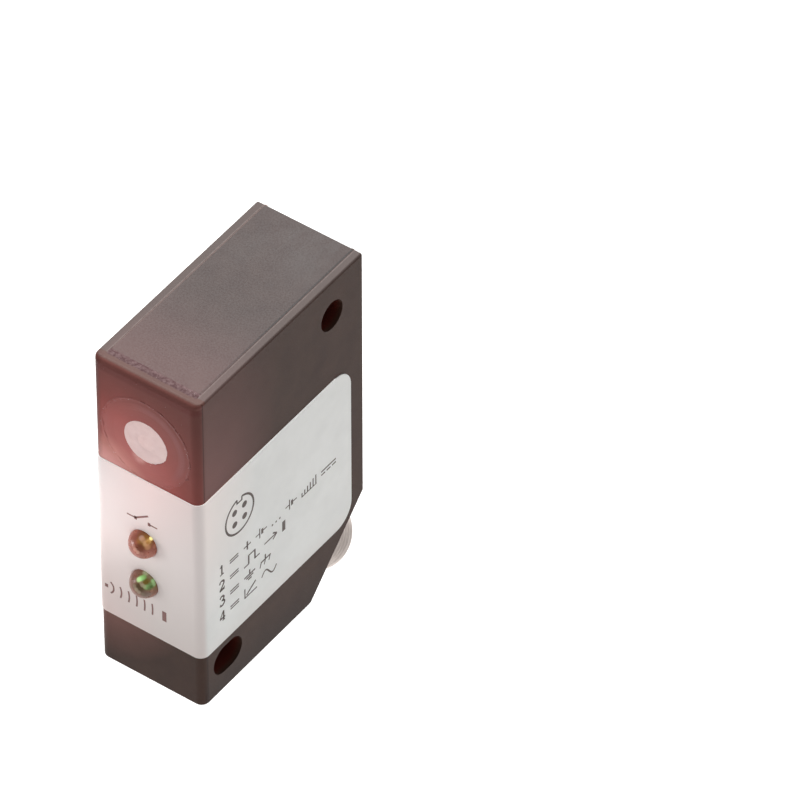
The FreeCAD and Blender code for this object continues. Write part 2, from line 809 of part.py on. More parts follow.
def make_lock_nut():
    corner = nut_across_flats / math.sqrt(3)
    points = []
    for number in range(6):
        angle = math.radians(60 * number + 30)
        points.append(Vector(corner * math.cos(angle), corner * math.sin(angle), 0))
    nut = Part.Face(Part.makePolygon(points + points[:1])).extrude(Vector(0, 0, nut_thickness))
    nut = nut.cut(Part.makeCylinder(shank_radius + nut_clearance, nut_thickness))
    under_wall = FreeCAD.Placement(Vector(0, 0, -corner_wall - nut_thickness), FreeCAD.Rotation())
    nut.Placement = plug_place.multiply(under_wall)
    return nut


def make_shell_seal():
    ring = Part.makeTorus(seal_radius, seal_section_radius, Vector(0, 0, seal_section_radius))
    ring.Placement = plug_place.multiply(ring.Placement)
    return ring


def make_lead(x, y):
    """A lead from a pin's tail, past the slanted edge of the board and on to its face."""
    tail = -shank_length - pin_tail_length
    pad = lead_inner_pad if x > 0 else lead_outer_pad
    pad_y = math.copysign(pad, y)
    pad_height = -corner_free_depth - lead_pad_depth - lead_radius
    stand = board_face + lead_stand_off_height
    local = [
        Vector(x, y, tail),
        Vector(x, y, tail - lead_straight_length),
        Vector(stand, pad_y, pad_height),
        Vector(board_face, pad_y, pad_height),
    ]
    return bent_wire([plug_place.multVec(point) for point in local], lead_radius)


def make_plug():
    parts = {
        "plug_shell": make_plug_shell(),
        "shell_seal": make_shell_seal(),
        "lock_nut": make_lock_nut(),
        "contact_carrier": make_contact_carrier(),
        "plug_potting": make_plug_potting(),
    }
    for number, (x, y) in enumerate(pin_places(), 1):
        parts["contact_pin_%d" % number] = make_pin(x, y)
        parts["plug_lead_%d" % number] = make_lead(x, y)
    return parts


def make_parts():
    parts = {
        "housing": make_housing(),
        "cover": make_cover(),
        "cover_adhesive": make_cover_adhesive(),
        "label": make_label(),
        "transducer_leads": make_transducer_leads(),
        "led_output": make_led(output_led_z),
        "led_output_legs": make_legs(output_led_z),
        "led_echo": make_led(echo_led_z),
        "led_echo_legs": make_legs(echo_led_z),
        "led_spacer": make_led_spacer(),
        "main_board": make_board(),
    }
    parts.update(make_transducer())
    parts.update(make_board_parts())
    parts.update(make_plug())
    return parts


os.makedirs("parts", exist_ok=True)
for name, shape in make_parts().items():
    solids = shape.Solids
    good = shape.isValid() and len(solids) > 0
    print(name, "solids", len(solids), "volume %.2f" % shape.Volume, "valid" if good else "NOT VALID")
    shape.exportStep("parts/" + name + ".step")
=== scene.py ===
import bmesh
import bpy
import json
import math
from mathutils import Matrix, Vector
from types import SimpleNamespace as Look


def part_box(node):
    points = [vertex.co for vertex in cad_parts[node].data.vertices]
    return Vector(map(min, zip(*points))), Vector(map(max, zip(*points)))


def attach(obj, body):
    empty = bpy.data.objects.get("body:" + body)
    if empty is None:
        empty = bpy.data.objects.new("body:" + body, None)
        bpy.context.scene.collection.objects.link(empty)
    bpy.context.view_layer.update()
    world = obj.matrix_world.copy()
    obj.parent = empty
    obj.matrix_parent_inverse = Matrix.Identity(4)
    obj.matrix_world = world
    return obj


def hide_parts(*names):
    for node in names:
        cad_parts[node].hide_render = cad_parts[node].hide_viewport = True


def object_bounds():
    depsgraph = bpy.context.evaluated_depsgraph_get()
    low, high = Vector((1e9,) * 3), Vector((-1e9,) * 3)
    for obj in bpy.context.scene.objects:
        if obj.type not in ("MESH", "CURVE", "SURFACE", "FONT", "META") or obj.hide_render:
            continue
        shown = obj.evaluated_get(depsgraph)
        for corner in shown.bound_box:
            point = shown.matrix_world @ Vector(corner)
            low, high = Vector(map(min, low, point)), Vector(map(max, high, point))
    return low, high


# Dressing of a flat block ultrasonic sensor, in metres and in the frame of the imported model. The sizes in
# the dictionaries are in millimetres where no note says metres; the tones are screen colours, 0 to 255.
# The sound leaves towards -Y, the label wraps from the front on to the +X side,
# and the plug points down and back from the bevelled corner.

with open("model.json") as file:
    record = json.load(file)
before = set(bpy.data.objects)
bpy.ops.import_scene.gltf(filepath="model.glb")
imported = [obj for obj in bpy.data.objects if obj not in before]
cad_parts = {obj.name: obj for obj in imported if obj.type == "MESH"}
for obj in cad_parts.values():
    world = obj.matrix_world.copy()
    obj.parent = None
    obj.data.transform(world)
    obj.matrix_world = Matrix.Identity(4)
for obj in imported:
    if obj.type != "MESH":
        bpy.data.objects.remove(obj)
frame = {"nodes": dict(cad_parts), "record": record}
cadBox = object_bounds()
cadNodes = frame["nodes"]
mounts = {mount["name"]: mount for mount in frame["record"]["mounts"]}
slotOfNode = {part["node"]: part["material_slot"] for part in frame["record"]["subparts"]}
mm = 0.001
housingLow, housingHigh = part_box("housing")
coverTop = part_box("cover")[1].z
cupLow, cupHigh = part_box("transducer_cup")
cupX, cupZ = (cupLow.x + cupHigh.x) / 2, (cupLow.z + cupHigh.z) / 2
frontY, backY, topZ, halfWidth = housingLow.y, housingHigh.y, housingHigh.z, housingHigh.x
rimWidth, frontRim = 1.5, 2.0         # of the housing round its cover, in millimetres
print("stage: frame loaded,", len(cadNodes), "nodes")


# Node helpers, for shader trees and geometry trees alike

class Value:
    # an output of a node that can be reckoned with
    def __init__(self, socket):
        self.socket, self.tree = socket, socket.id_data

    def __abs__(self):
        return reckon("ABSOLUTE", self)

    def __add__(self, other):
        return reckon("ADD", self, other)

    def __radd__(self, other):
        return reckon("ADD", other, self)

    def __sub__(self, other):
        return reckon("SUBTRACT", self, other)

    def __rsub__(self, other):
        return reckon("SUBTRACT", other, self)

    def __mul__(self, other):
        return reckon("MULTIPLY", self, other)

    def __truediv__(self, other):
        return reckon("DIVIDE", self, other)

    def __rtruediv__(self, other):
        return reckon("DIVIDE", other, self)

    def remap(self, fromLow, fromHigh, toLow=0.0, toHigh=1.0, smooth=False):
        return wire(self.tree, "ShaderNodeMapRange", {
            "Value": self, "From Min": fromLow, "From Max": fromHigh, "To Min": toLow, "To Max": toHigh},
            interpolation_type="SMOOTHSTEP" if smooth else "LINEAR")

    def stripe(self, middle, half, soft):
        # one inside a stripe round a middle value, nothing beyond its soft edge
        return abs(self - middle).remap(half, half + soft, 1.0, 0.0)

    def mix(self, first, second):
        # this share of the second tone over the first
        tones = {0: self, 6: tone(first), 7: tone(second)}
        return wire(self.tree, "ShaderNodeMix", tones, 2, data_type="RGBA")


def wire(tree, kind, inputs=None, output=0, **settings):
    # adds a node and gives back one of its outputs, or the node itself where output is None
    node = tree.nodes.new(kind)
    for name, value in settings.items():
        setattr(node, name, value)
    feed(node, inputs or {})
    return node if output is None else Value(node.outputs[output])


def feed(node, inputs):
    for name, value in inputs.items():
        if isinstance(value, Value):
            value.tree.links.new(value.socket, node.inputs[name])
        else:
            node.inputs[name].default_value = value


def reckon(operation, first, second=0.0):
    tree = (first if isinstance(first, Value) else second).tree
    return wire(tree, "ShaderNodeMath", {0: first, 1: second}, operation=operation)


def vectorMath(operation, first, inputs=None, output=0):
    return wire(first.tree, "ShaderNodeVectorMath", {0: first, **(inputs or {})}, output, operation=operation)


def axesOf(place):
    split = wire(place.tree, "ShaderNodeSeparateXYZ", {"Vector": place}, None)
    return [Value(socket) for socket in split.outputs]


def tone(colour):
    # a screen colour as linear light; what a node gives stays as it is
    if isinstance(colour, Value):
        return colour
    shares = [value / 255 for value in colour]
    return (*(share / 12.92 if share <= 0.04045 else ((share + 0.055) / 1.055) ** 2.4
              for share in shares), 1.0)


# what a place is measured from: number of the axis, and the place of the face
measures = {"x": (0, 0.0), "left": (0, -halfWidth), "right": (0, halfWidth), "side": (0, halfWidth),
            "y": (1, frontY), "back": (1, backY), "z": (2, 0.0), "top": (2, topZ)}
frontPlane, sidePlane = (1, 0, 1), (0, 1, 1)


class Skin:
    # the shader tree of one finish
    def __init__(self, name):
        self.finish = bpy.data.materials.new(name)
        self.finish.use_nodes = True
        self.tree = self.finish.node_tree
        self.axes = None

    def place(self, stretch=(1, 1, 1), move=(0, 0, 0)):
        where = wire(self.tree, "ShaderNodeTexCoord", None, "Object")
        return wire(self.tree, "ShaderNodeMapping", {"Vector": where, "Location": move, "Scale": stretch},
                    vector_type="POINT")

    def noise(self, cell, detail=3.0, roughness=0.55, place=None):
        # cell is the size of one grain
        return wire(self.tree, "ShaderNodeTexNoise", {
            "Vector": place or self.place(), "Scale": 1 / (cell * mm), "Detail": detail,
            "Roughness": roughness}, "Fac", noise_dimensions="3D")

    def cells(self, size, output="Distance", feature="F1", randomness=1.0):
        return wire(self.tree, "ShaderNodeTexVoronoi", {
            "Vector": self.place(), "Scale": 1 / (size * mm), "Randomness": randomness},
            output, feature=feature)

    def distance(self, middle, stretch=(1, 1, 1)):
        return vectorMath("DISTANCE", self.place(stretch), {1: middle}, "Value")

    def axis(self, name):
        # side is measured outward on both sides
        self.axes = self.axes or axesOf(self.place())
        value = self.axes[measures[name][0]]
        return abs(value) if name == "side" else value

    def along(self, name, start, end, low=0.0, high=1.0, smooth=False):
        # low at the start, high at the end
        origin = measures[name][1]
        return self.axis(name).remap(origin + start * mm, origin + end * mm, low, high, smooth)

    def band(self, name, middle, half, soft):
        return self.axis(name).stripe(measures[name][1] + middle * mm, half * mm, soft * mm)

    def coat(self, colour, rough, heights, others=None):
        # heights are pairs of height and depth, from the coarse to the fine
        bump = {}
        for height, depth in heights:
            bump["Normal"] = wire(self.tree, "ShaderNodeBump", {
                "Height": height, "Distance": depth * mm, "Strength": 1.0, **bump})
        shader = self.tree.nodes["Principled BSDF"]
        feed(shader, {"Base Color": colour, "Roughness": rough, **(others or {}), **bump})
        return self.finish


# Finishes

plasticLooks = {
    # dark and light tones, size of the mottles, size and depth of the grain, roughness, gloss,
    # share of dark flecks
    "housing_plastic": ((62, 40, 31), (72, 49, 39), 6.0, 0.20, 0.008, (0.50, 0.60), 0.20, 0.25),
    "cover_plastic": ((60, 46, 44), (69, 55, 52), 3.5, 0.28, 0.010, (0.58, 0.70), 0.38, 0.45),
    "cup_plastic": ((58, 35, 30), (72, 46, 41), 2.4, 0.20, 0.006, (0.42, 0.50), 0.25, 0.2),
}
fleckTone = (30, 20, 18)


def mouldedPlastic(slot):
    dark, light, mottleSize, grainSize, grainDepth, rough, gloss, flecks = plasticLooks[slot]
    skin = Skin(slot)
    mottle = skin.noise(mottleSize, 4.0, 0.6)
    grain = skin.noise(grainSize, 2.0, 0.5)
    colour = mottle.remap(0.3, 0.7).mix(dark, light)
    colour = grain.remap(0.58, 0.8, 0.0, 0.25).mix(colour, light)
    colour = grain.remap(0.42, 0.28, 0.0, flecks).mix(colour, fleckTone)
    heights = [(grain, grainDepth)]
    if slot == "cover_plastic":
        colour = paintedFrontGlow(skin, rubbedPatchesAndPaintedShade(skin, colour))
    elif slot == "cup_plastic":
        colour = cupMarks(skin, paintedFrontGlow(skin, colour), mottle)
        heights.insert(0, (turnedRings(skin), 0.003))
    else:
        colour = holeWalls(skin, edgeMarksAndPaintedLight(skin, paintedFrontGlow(skin, colour)))
    return skin.coat(colour, grain.remap(0.3, 0.7, *rough), heights, {"Specular IOR Level": gloss})


cupLook = dict(bandAt=6.9, bandHalf=0.25, bandSoft=0.6, bandMost=0.2, bandTone=(140, 104, 106),
               smudgeX=-1.4, smudgeZ=-3.9, smudgeNear=0.5, smudgeFar=1.7, smudgeTone=(214, 172, 166))


def cupMarks(skin, colour, mottle):
    # a paler band round the upper right of the cup as a painted highlight, and a pale smudge low on its
    # port's left edge
    look = Look(**cupLook)
    band = skin.distance((cupX, 0.0, cupZ), frontPlane).stripe(
        look.bandAt * mm, look.bandHalf * mm, look.bandSoft * mm)
    upperRight = skin.axis("x") + (skin.axis("z") - cupZ) * 0.6
    # painted highlight on the upper right of the cup
    colour = (band * upperRight.remap(1 * mm, 5 * mm, 0.0, look.bandMost)).mix(colour, look.bandTone)
    smudge = skin.distance((cupX + look.smudgeX * mm, 0.0, cupZ + look.smudgeZ * mm), frontPlane).remap(
        look.smudgeNear * mm, look.smudgeFar * mm, mottle.remap(0.35, 0.65, 0.2, 0.7), 0.0, True)
    return smudge.mix(colour, look.smudgeTone)


holeLook = dict(near=4.6, far=4.8, most=0.7, tint=(96, 30, 20))


def holeWalls(skin, colour):
    # the walls of the round hole and of the slot are redder
    look = Look(**holeLook)
    mask = 0.0
    for name in ("fixing_hole", "fixing_slot"):
        y, z = mounts[name]["pos_m"][1:]
        near = skin.distance((0.0, y, z), sidePlane).remap(look.near * mm, look.far * mm, 1.0, 0.0)
        mask = reckon("MAXIMUM", mask, near)
    return (skin.along("side", -1.2, -0.3, look.most, 0.0) * mask).mix(colour, look.tint)


paintedGlowLook = dict(
    # tones of the painted red glow on the front by their distance from its hot spot, as a share of the reach;
    # the two spots in metres
    hotSpot=(-9.0 * mm, 0.0, -18.0 * mm), reach=30,
    tones=((0.0, (226, 184, 178)), (0.17, (213, 157, 152)), (0.25, (190, 130, 121)), (0.34, (169, 95, 89)),
           (0.50, (158, 77, 71)), (0.57, (145, 69, 63)), (0.67, (134, 68, 62)), (0.75, (123, 64, 58)),
           (0.85, (113, 60, 54)), (1.0, (104, 55, 49))),
    share=0.92, labelTop=-22, labelBase=-40,
    # a weaker painted glow under the label's left corner
    lowSpot=(-10.0 * mm, 0.0, -40.0 * mm), lowNear=8, lowFar=17, lowTone=(180, 120, 112), lowMost=0.34,
    # a thin veil of painted red glow over the first part of the side and of the top
    veil=(188, 126, 124), veilMost=0.30, veilTo=23, veilTop=0.40, veilLow=-30,
    cornerFrom=0.8, cornerTo=2.0, cloud=4.0,
    # a painted highlight along the front's upper edge and a band of painted shade under it;
    # a darker left corner above the label
    edge=(160, 108, 102), edgeMost=0.24, under=(92, 30, 27), underMost=0.46, left=(76, 34, 30), leftMost=0.58)


def rampColours(value, stops):
    ramp = wire(value.tree, "ShaderNodeValToRGB", {"Fac": value}, None)
    elements = ramp.color_ramp.elements
    elements[0].color, elements[1].color = tone(stops[0][1]), tone(stops[-1][1])
    for at, colour in stops[1:-1]:
        elements.new(at).color = tone(colour)
    return Value(ramp.outputs["Color"])


def paintedFrontGlow(skin, colour, share=paintedGlowLook["share"]):
    # painted light: a red glow painted on the front of the black plastic, pale red beside the label's top
    # left corner
    look = Look(**paintedGlowLook)
    cloud = skin.noise(look.cloud).remap(0.3, 0.7, 0.88, 1.0)
    onFront = skin.along("y", look.cornerFrom, look.cornerTo, 1.0, 0.0, True)
    hot = rampColours(skin.distance(look.hotSpot, frontPlane) / (look.reach * mm), look.tones)
    above = skin.along("z", look.labelBase, look.labelTop, 0.0, share, True) * cloud * onFront
    colour = (above * skin.along("top", -0.14, -0.01, 1.0, 0.1)).mix(colour, hot)
    # a band of painted shade under the front's upper edge, then a painted highlight along the edge
    colour = (onFront * skin.band("top", -1.40, 0.35, 0.60) * look.underMost).mix(colour, look.under)
    colour = (onFront * skin.band("top", -0.36, 0.26, 0.30) * look.edgeMost).mix(colour, look.edge)
    left = skin.along("x", -8.2, -9.3, 0.0, look.leftMost) * skin.along("z", look.labelTop, -12)
    colour = (left * onFront).mix(colour, look.left)
    low = skin.distance(look.lowSpot, frontPlane).remap(
        look.lowNear * mm, look.lowFar * mm, look.lowMost, 0.0)
    low = low * (onFront * skin.along("z", look.labelBase, look.labelBase - 6))
    colour = low.mix(colour, look.lowTone)
    # a thin veil of painted red glow over the side and the top near the front
    veil = skin.along("y", 1, look.veilTo, look.veilMost, 0.0, True)
    veil = veil * skin.along("top", -17, 0, 1.0, look.veilTop) * skin.along("z", look.veilLow, -16)
    veil = veil * (1.0 - onFront) * skin.along("left", 0, 1, 0.2, 1.0)
    return veil.mix(colour, look.veil)


edgeMarksAndLightLook = dict(edgeTone=(150, 136, 132), edgeStrength=0.30, frontEdgeAt=0.88, frontEdgeHalf=0.18,
                frontEdgeMost=0.26, rimEdgeAt=0.09, rimEdgeHalf=0.07, soft=0.10, chip=0.55,
                dust=(96, 90, 90), dustStrength=0.40, lowTone=(44, 27, 21), lowStrength=0.66,
                lineTone=(40, 26, 22), lineAt=1.30, lineHalf=0.06, lineStrength=0.55)


def edgeMarksAndPaintedLight(skin, colour):
    # painted highlights along the rims' edges, a dark moulding line beside the front corners, and painted
    # shade darkening the low end of the side
    look = Look(**edgeMarksAndLightLook)
    highlightBreaks = skin.noise(look.chip).remap(0.35, 0.6, 0.35, 1.0)
    onTop, onBack = skin.along("top", -0.25, -0.12), skin.along("back", -0.25, -0.12)
    behindSeam = skin.along("y", frontRim, frontRim + 0.1)
    colour = (onTop * behindSeam * look.dustStrength).mix(colour, look.dust)
    # painted highlights, broken up by noise, along the front rim's top edge and the rims' inner edges
    frontEdge = onTop * skin.band("y", look.frontEdgeAt, look.frontEdgeHalf, look.soft) * look.frontEdgeMost
    rimEdge = skin.band("side", look.rimEdgeAt - rimWidth, look.rimEdgeHalf, look.soft)
    rimEdge = rimEdge * (behindSeam * reckon("MAXIMUM", onTop, onBack))
    paintedHighlight = highlightBreaks * reckon("MAXIMUM", frontEdge, rimEdge)
    colour = (paintedHighlight * look.edgeStrength).mix(colour, look.edgeTone)
    onSide = skin.along("side", -0.3, -0.1)
    line = skin.band("y", look.lineAt, look.lineHalf, look.soft) * (onSide * look.lineStrength)
    colour = line.mix(colour, look.lineTone)
    # painted shade: the side darkens towards its low end
    return (onSide * skin.along("z", -50, -57, 0.0, look.lowStrength)).mix(colour, look.lowTone)


patchLook = dict(tint=(98, 100, 99), size=11.0, strength=0.34, fadeFrom=26.0, fadeTo=41.0,
                 seamTone=(54, 38, 38), grimeTone=(30, 22, 21), grimeHalf=0.14, grimeSoft=0.14,
                 grimeStrength=0.9)


def rubbedPatchesAndPaintedShade(skin, colour):
    # bluish grey patches, more of them towards the back of the cover; painted shade darkening the cover
    # towards the front seam, and a line of painted shade along the right rim
    look = Look(**patchLook)
    cloud = skin.noise(look.size, 5.0, 0.62, skin.place((1.0, 0.5, 1.0)))
    nearBack = skin.along("y", look.fadeFrom, look.fadeTo, 0.06, 1.0)
    colour = (cloud.remap(0.42, 0.66, 0.0, look.strength) * nearBack).mix(colour, look.tint)
    # painted shade: the cover darkens towards the front seam
    colour = skin.along("y", 2.5, 3.3, 0.6, 0.0).mix(colour, look.seamTone)
    # a thin line of painted shade along the right rim
    rimShade = skin.band("right", -rimWidth - 0.2, look.grimeHalf, look.grimeSoft)
    return (rimShade * look.grimeStrength).mix(colour, look.grimeTone)


def turnedRings(skin):
    # faint turning marks round the middle of the transducer
    return wire(skin.tree, "ShaderNodeTexWave", {
        "Vector": skin.place(move=(-cupX, 0, -cupZ)), "Scale": 620.0, "Distortion": 0.6, "Detail": 2.0,
        "Detail Scale": 1.2}, "Fac", wave_type="RINGS", rings_direction="Y")


seamLook = dict(dark=(84, 58, 60), light=(118, 96, 97), left=(128, 108, 104), right=(74, 54, 50),
                lump=0.7, depth=0.008)


def seamAdhesive(slot):
    # uneven and purplish along the front, thin and smooth along the sides, with a painted highlight on the
    # left side's seam and painted shade on the right's
    look, skin = Look(**seamLook), Skin(slot)
    lumps = skin.noise(look.lump, 4.0, 0.6)
    front = lumps.remap(0.4, 0.62).mix(look.dark, look.light)
    # painted light: the left seam lighter as if lit, the right darker as if in shade
    sides = skin.along("x", -1, 1).mix(look.left, look.right)
    return skin.coat(skin.along("y", 3.2, 3.8).mix(front, sides), lumps.remap(0.35, 0.65, 0.5, 0.7),
                     [(lumps, look.depth)], {"Specular IOR Level": 0.06})


labelLook = dict(paper=(241, 242, 240), shade=(234, 235, 233), cloud=7, front=(238, 228, 226),
                 frontLow=(226, 214, 210), frontLeft=(246, 218, 214), frontTop=(212, 220, 220),
                 sideVeil=(255, 244, 240), veilTo=14, sideLow=(227, 224, 221),
                 fibre=0.35, fibreDepth=0.003, wave=9, waveDepth=0.008, cutEdge=0.004)


def labelFilm(slot):
    look, skin = Look(**labelLook), Skin(slot)
    fibre, wave = skin.noise(look.fibre, 2.0, 0.5), skin.noise(look.wave, 1.0, 0.4)
    colour = skin.noise(look.cloud, 4.0, 0.6).remap(0.35, 0.65).mix(look.paper, look.shade)
    # painted light: the front is painted a little darker than the side as shade and rosier with a painted red
    # glow, the more so lower down, pale pink with painted glow at the lower left and greyer at the upper left
    front = skin.along("z", -47, -28).mix(look.frontLow, look.front)
    leftLow = skin.along("left", 0, 12, 0.9, 0.0) * skin.along("z", -47, -26, 1.0, 0.0)
    leftTop = skin.along("x", 1, -8, 0.0, 0.85) * skin.along("z", -30, -17)
    front = leftTop.mix(leftLow.mix(front, look.frontLeft), look.frontTop)
    # painted shade: the side darker towards its bottom
    colour = skin.along("z", -43.5, -48.5, 0.0, 0.8).mix(colour, look.sideLow)
    # a painted glow over the side near the front
    sideVeil = skin.along("y", 2, look.veilTo, 0.9, 0.0) * skin.along("z", -40, -20)
    colour = skin.along("y", 0.4, 1.4, 0.85, 0.0, True).mix(sideVeil.mix(colour, look.sideVeil), front)
    # painted light: the film's cut upper edge is made to glow a little
    edge = skin.axis("z").stripe(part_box("label")[1].z, look.cutEdge * mm, look.cutEdge * mm)
    return skin.coat(
        colour, fibre.remap(0.3, 0.7, 0.42, 0.52), [(wave, look.waveDepth), (fibre, look.fibreDepth)],
        {"Specular IOR Level": 0.4, "Emission Color": colour, "Emission Strength": edge * 0.65})


resinLook = dict(light=(240, 223, 220), dark=(233, 214, 211), cloud=1.4, cloudDepth=0.015, bead=0.16,
                 beadDepth=0.010, rough=0.62, soak=0.15, soakColour=(1.0, 0.8, 0.7), soakDepth=0.4)


def matchingResin(slot):
    # cast resin filled with hollow glass beads
    look, skin = Look(**resinLook), Skin(slot)
    cloud = skin.noise(look.cloud, 4.0)
    heights = [(cloud, look.cloudDepth), (skin.cells(look.bead), look.beadDepth)]
    return skin.coat(cloud.remap(0.35, 0.65).mix(look.light, look.dark), look.rough, heights, {
        "Subsurface Weight": look.soak, "Subsurface Radius": look.soakColour,
        "Subsurface Scale": look.soakDepth * mm})


metalLooks = {
    # dark and light tones, size of the spots and of the scratches, depth, roughness, how metallic
    "nickel_plate": ((226, 215, 209), (240, 230, 224), 1.6, 0.05, 0.001, (0.44, 0.54), 0.75),
    "gold_contact": ((204, 158, 74), (236, 196, 112), 0.6, 0.05, 0.001, (0.16, 0.28), 1.0),
    "tinned_metal": ((168, 168, 166), (208, 208, 204), 0.5, 0.06, 0.003, (0.26, 0.42), 1.0),
    "capacitor_can": ((176, 176, 178), (206, 206, 208), 2.0, 0.08, 0.002, (0.22, 0.34), 1.0),
    "crystal_can": ((160, 158, 152), (196, 194, 188), 1.5, 0.06, 0.002, (0.24, 0.38), 1.0),
    "copper_winding": ((150, 74, 38), (196, 108, 60), 0.8, 0.10, 0.004, (0.24, 0.40), 1.0),
}


def polishedMetal(slot):
    dark, light, spot, scratch, depth, rough, metal = metalLooks[slot]
    skin = Skin(slot)
    spots = skin.noise(spot, 4.0, 0.6)
    scratches = skin.noise(scratch, 2.0, 0.5, skin.place((0.12, 1.0, 1.0)))
    return skin.coat(spots.remap(0.3, 0.7).mix(dark, light), scratches.remap(0.3, 0.7, *rough),
                     [(spots, depth * 2), (scratches, depth)], {"Metallic": metal})


castLooks = {
    # pieces of resin, rubber and ceramic: dark and light tones, size of the patches and of the grain,
    # depth, roughness
    "dark_adhesive": ((38, 20, 20), (62, 38, 37), 0.7, 0.12, 0.008, (0.42, 0.6)),
    "piezo_ceramic": ((196, 184, 150), (214, 204, 172), 1.5, 0.08, 0.004, (0.5, 0.7)),
    "absorber_foam": ((58, 62, 66), (92, 96, 100), 1.0, 0.25, 0.06, (0.8, 0.95)),
    "silicone": ((190, 188, 182), (216, 214, 208), 1.6, 0.20, 0.006, (0.35, 0.5)),
    "potting_resin": ((30, 30, 34), (48, 48, 52), 2.4, 0.30, 0.010, (0.2, 0.4)),
    "spacer_plastic": ((36, 36, 38), (54, 54, 56), 1.4, 0.18, 0.008, (0.45, 0.6)),
    "carrier_plastic": ((28, 27, 28), (46, 44, 45), 1.2, 0.16, 0.008, (0.40, 0.55)),
    "ferrite": ((58, 56, 56), (84, 82, 80), 0.9, 0.10, 0.012, (0.55, 0.75)),
    "chip_resin": ((30, 30, 32), (46, 46, 48), 1.1, 0.09, 0.008, (0.5, 0.65)),
    "chip_ceramic": ((146, 112, 84), (186, 150, 116), 0.8, 0.10, 0.005, (0.4, 0.6)),
    "seal_rubber": ((24, 24, 25), (42, 42, 43), 1.0, 0.14, 0.008, (0.55, 0.75)),
}
leadTones = {"red": ((150, 24, 22), (182, 40, 34)), "brown": ((88, 52, 30), (112, 70, 44)),
             "white": ((214, 212, 204), (232, 230, 224)), "blue": ((28, 62, 132), (42, 84, 160)),
             "black": ((22, 22, 24), (40, 40, 42))}
castLooks.update({"lead_" + name: (*tones, 1.2, 0.12, 0.003, (0.35, 0.5))
                  for name, tones in leadTones.items()})


def castPiece(slot):
    dark, light, patch, grainSize, depth, rough = castLooks[slot]
    skin = Skin(slot)
    patches, grain = skin.noise(patch, 4.0, 0.6), skin.noise(grainSize, 2.0, 0.5)
    colour, others = patches.remap(0.3, 0.7).mix(dark, light), {}
    # the dark adhesive takes the front's painted red glow too
    if slot == "dark_adhesive":
        colour, others = paintedFrontGlow(skin, colour, 0.68), {"Specular IOR Level": 0.2}
    return skin.coat(colour, grain.remap(0.3, 0.7, *rough), [(patches, depth * 1.5), (grain, depth)], others)


boardLook = dict(dark=(16, 66, 40), light=(24, 84, 52), track=(52, 122, 66), trackSize=2.6, trackShare=0.7,
                 trackDepth=0.02, clothScale=500.0, clothDepth=0.006, rough=0.3, lacquer=0.4)


def boardLaminate(slot):
    # glass cloth under green lacquer, with copper tracks showing through
    look, skin = Look(**boardLook), Skin(slot)
    across, up = (wire(skin.tree, "ShaderNodeTexWave", {
        "Vector": skin.place(), "Scale": look.clothScale, "Distortion": 0.3},
        "Fac", wave_type="BANDS", bands_direction=direction) for direction in "YZ")
    cloth = across * up
    tracks = skin.cells(look.trackSize, "Distance", "DISTANCE_TO_EDGE", 0.75).remap(0.05, 0.08, 1.0, 0.0)
    colour = (tracks * look.trackShare).mix(cloth.mix(look.dark, look.light), look.track)
    return skin.coat(colour, look.rough, [(tracks, look.trackDepth), (cloth, look.clothDepth)],
                     {"Coat Weight": look.lacquer})


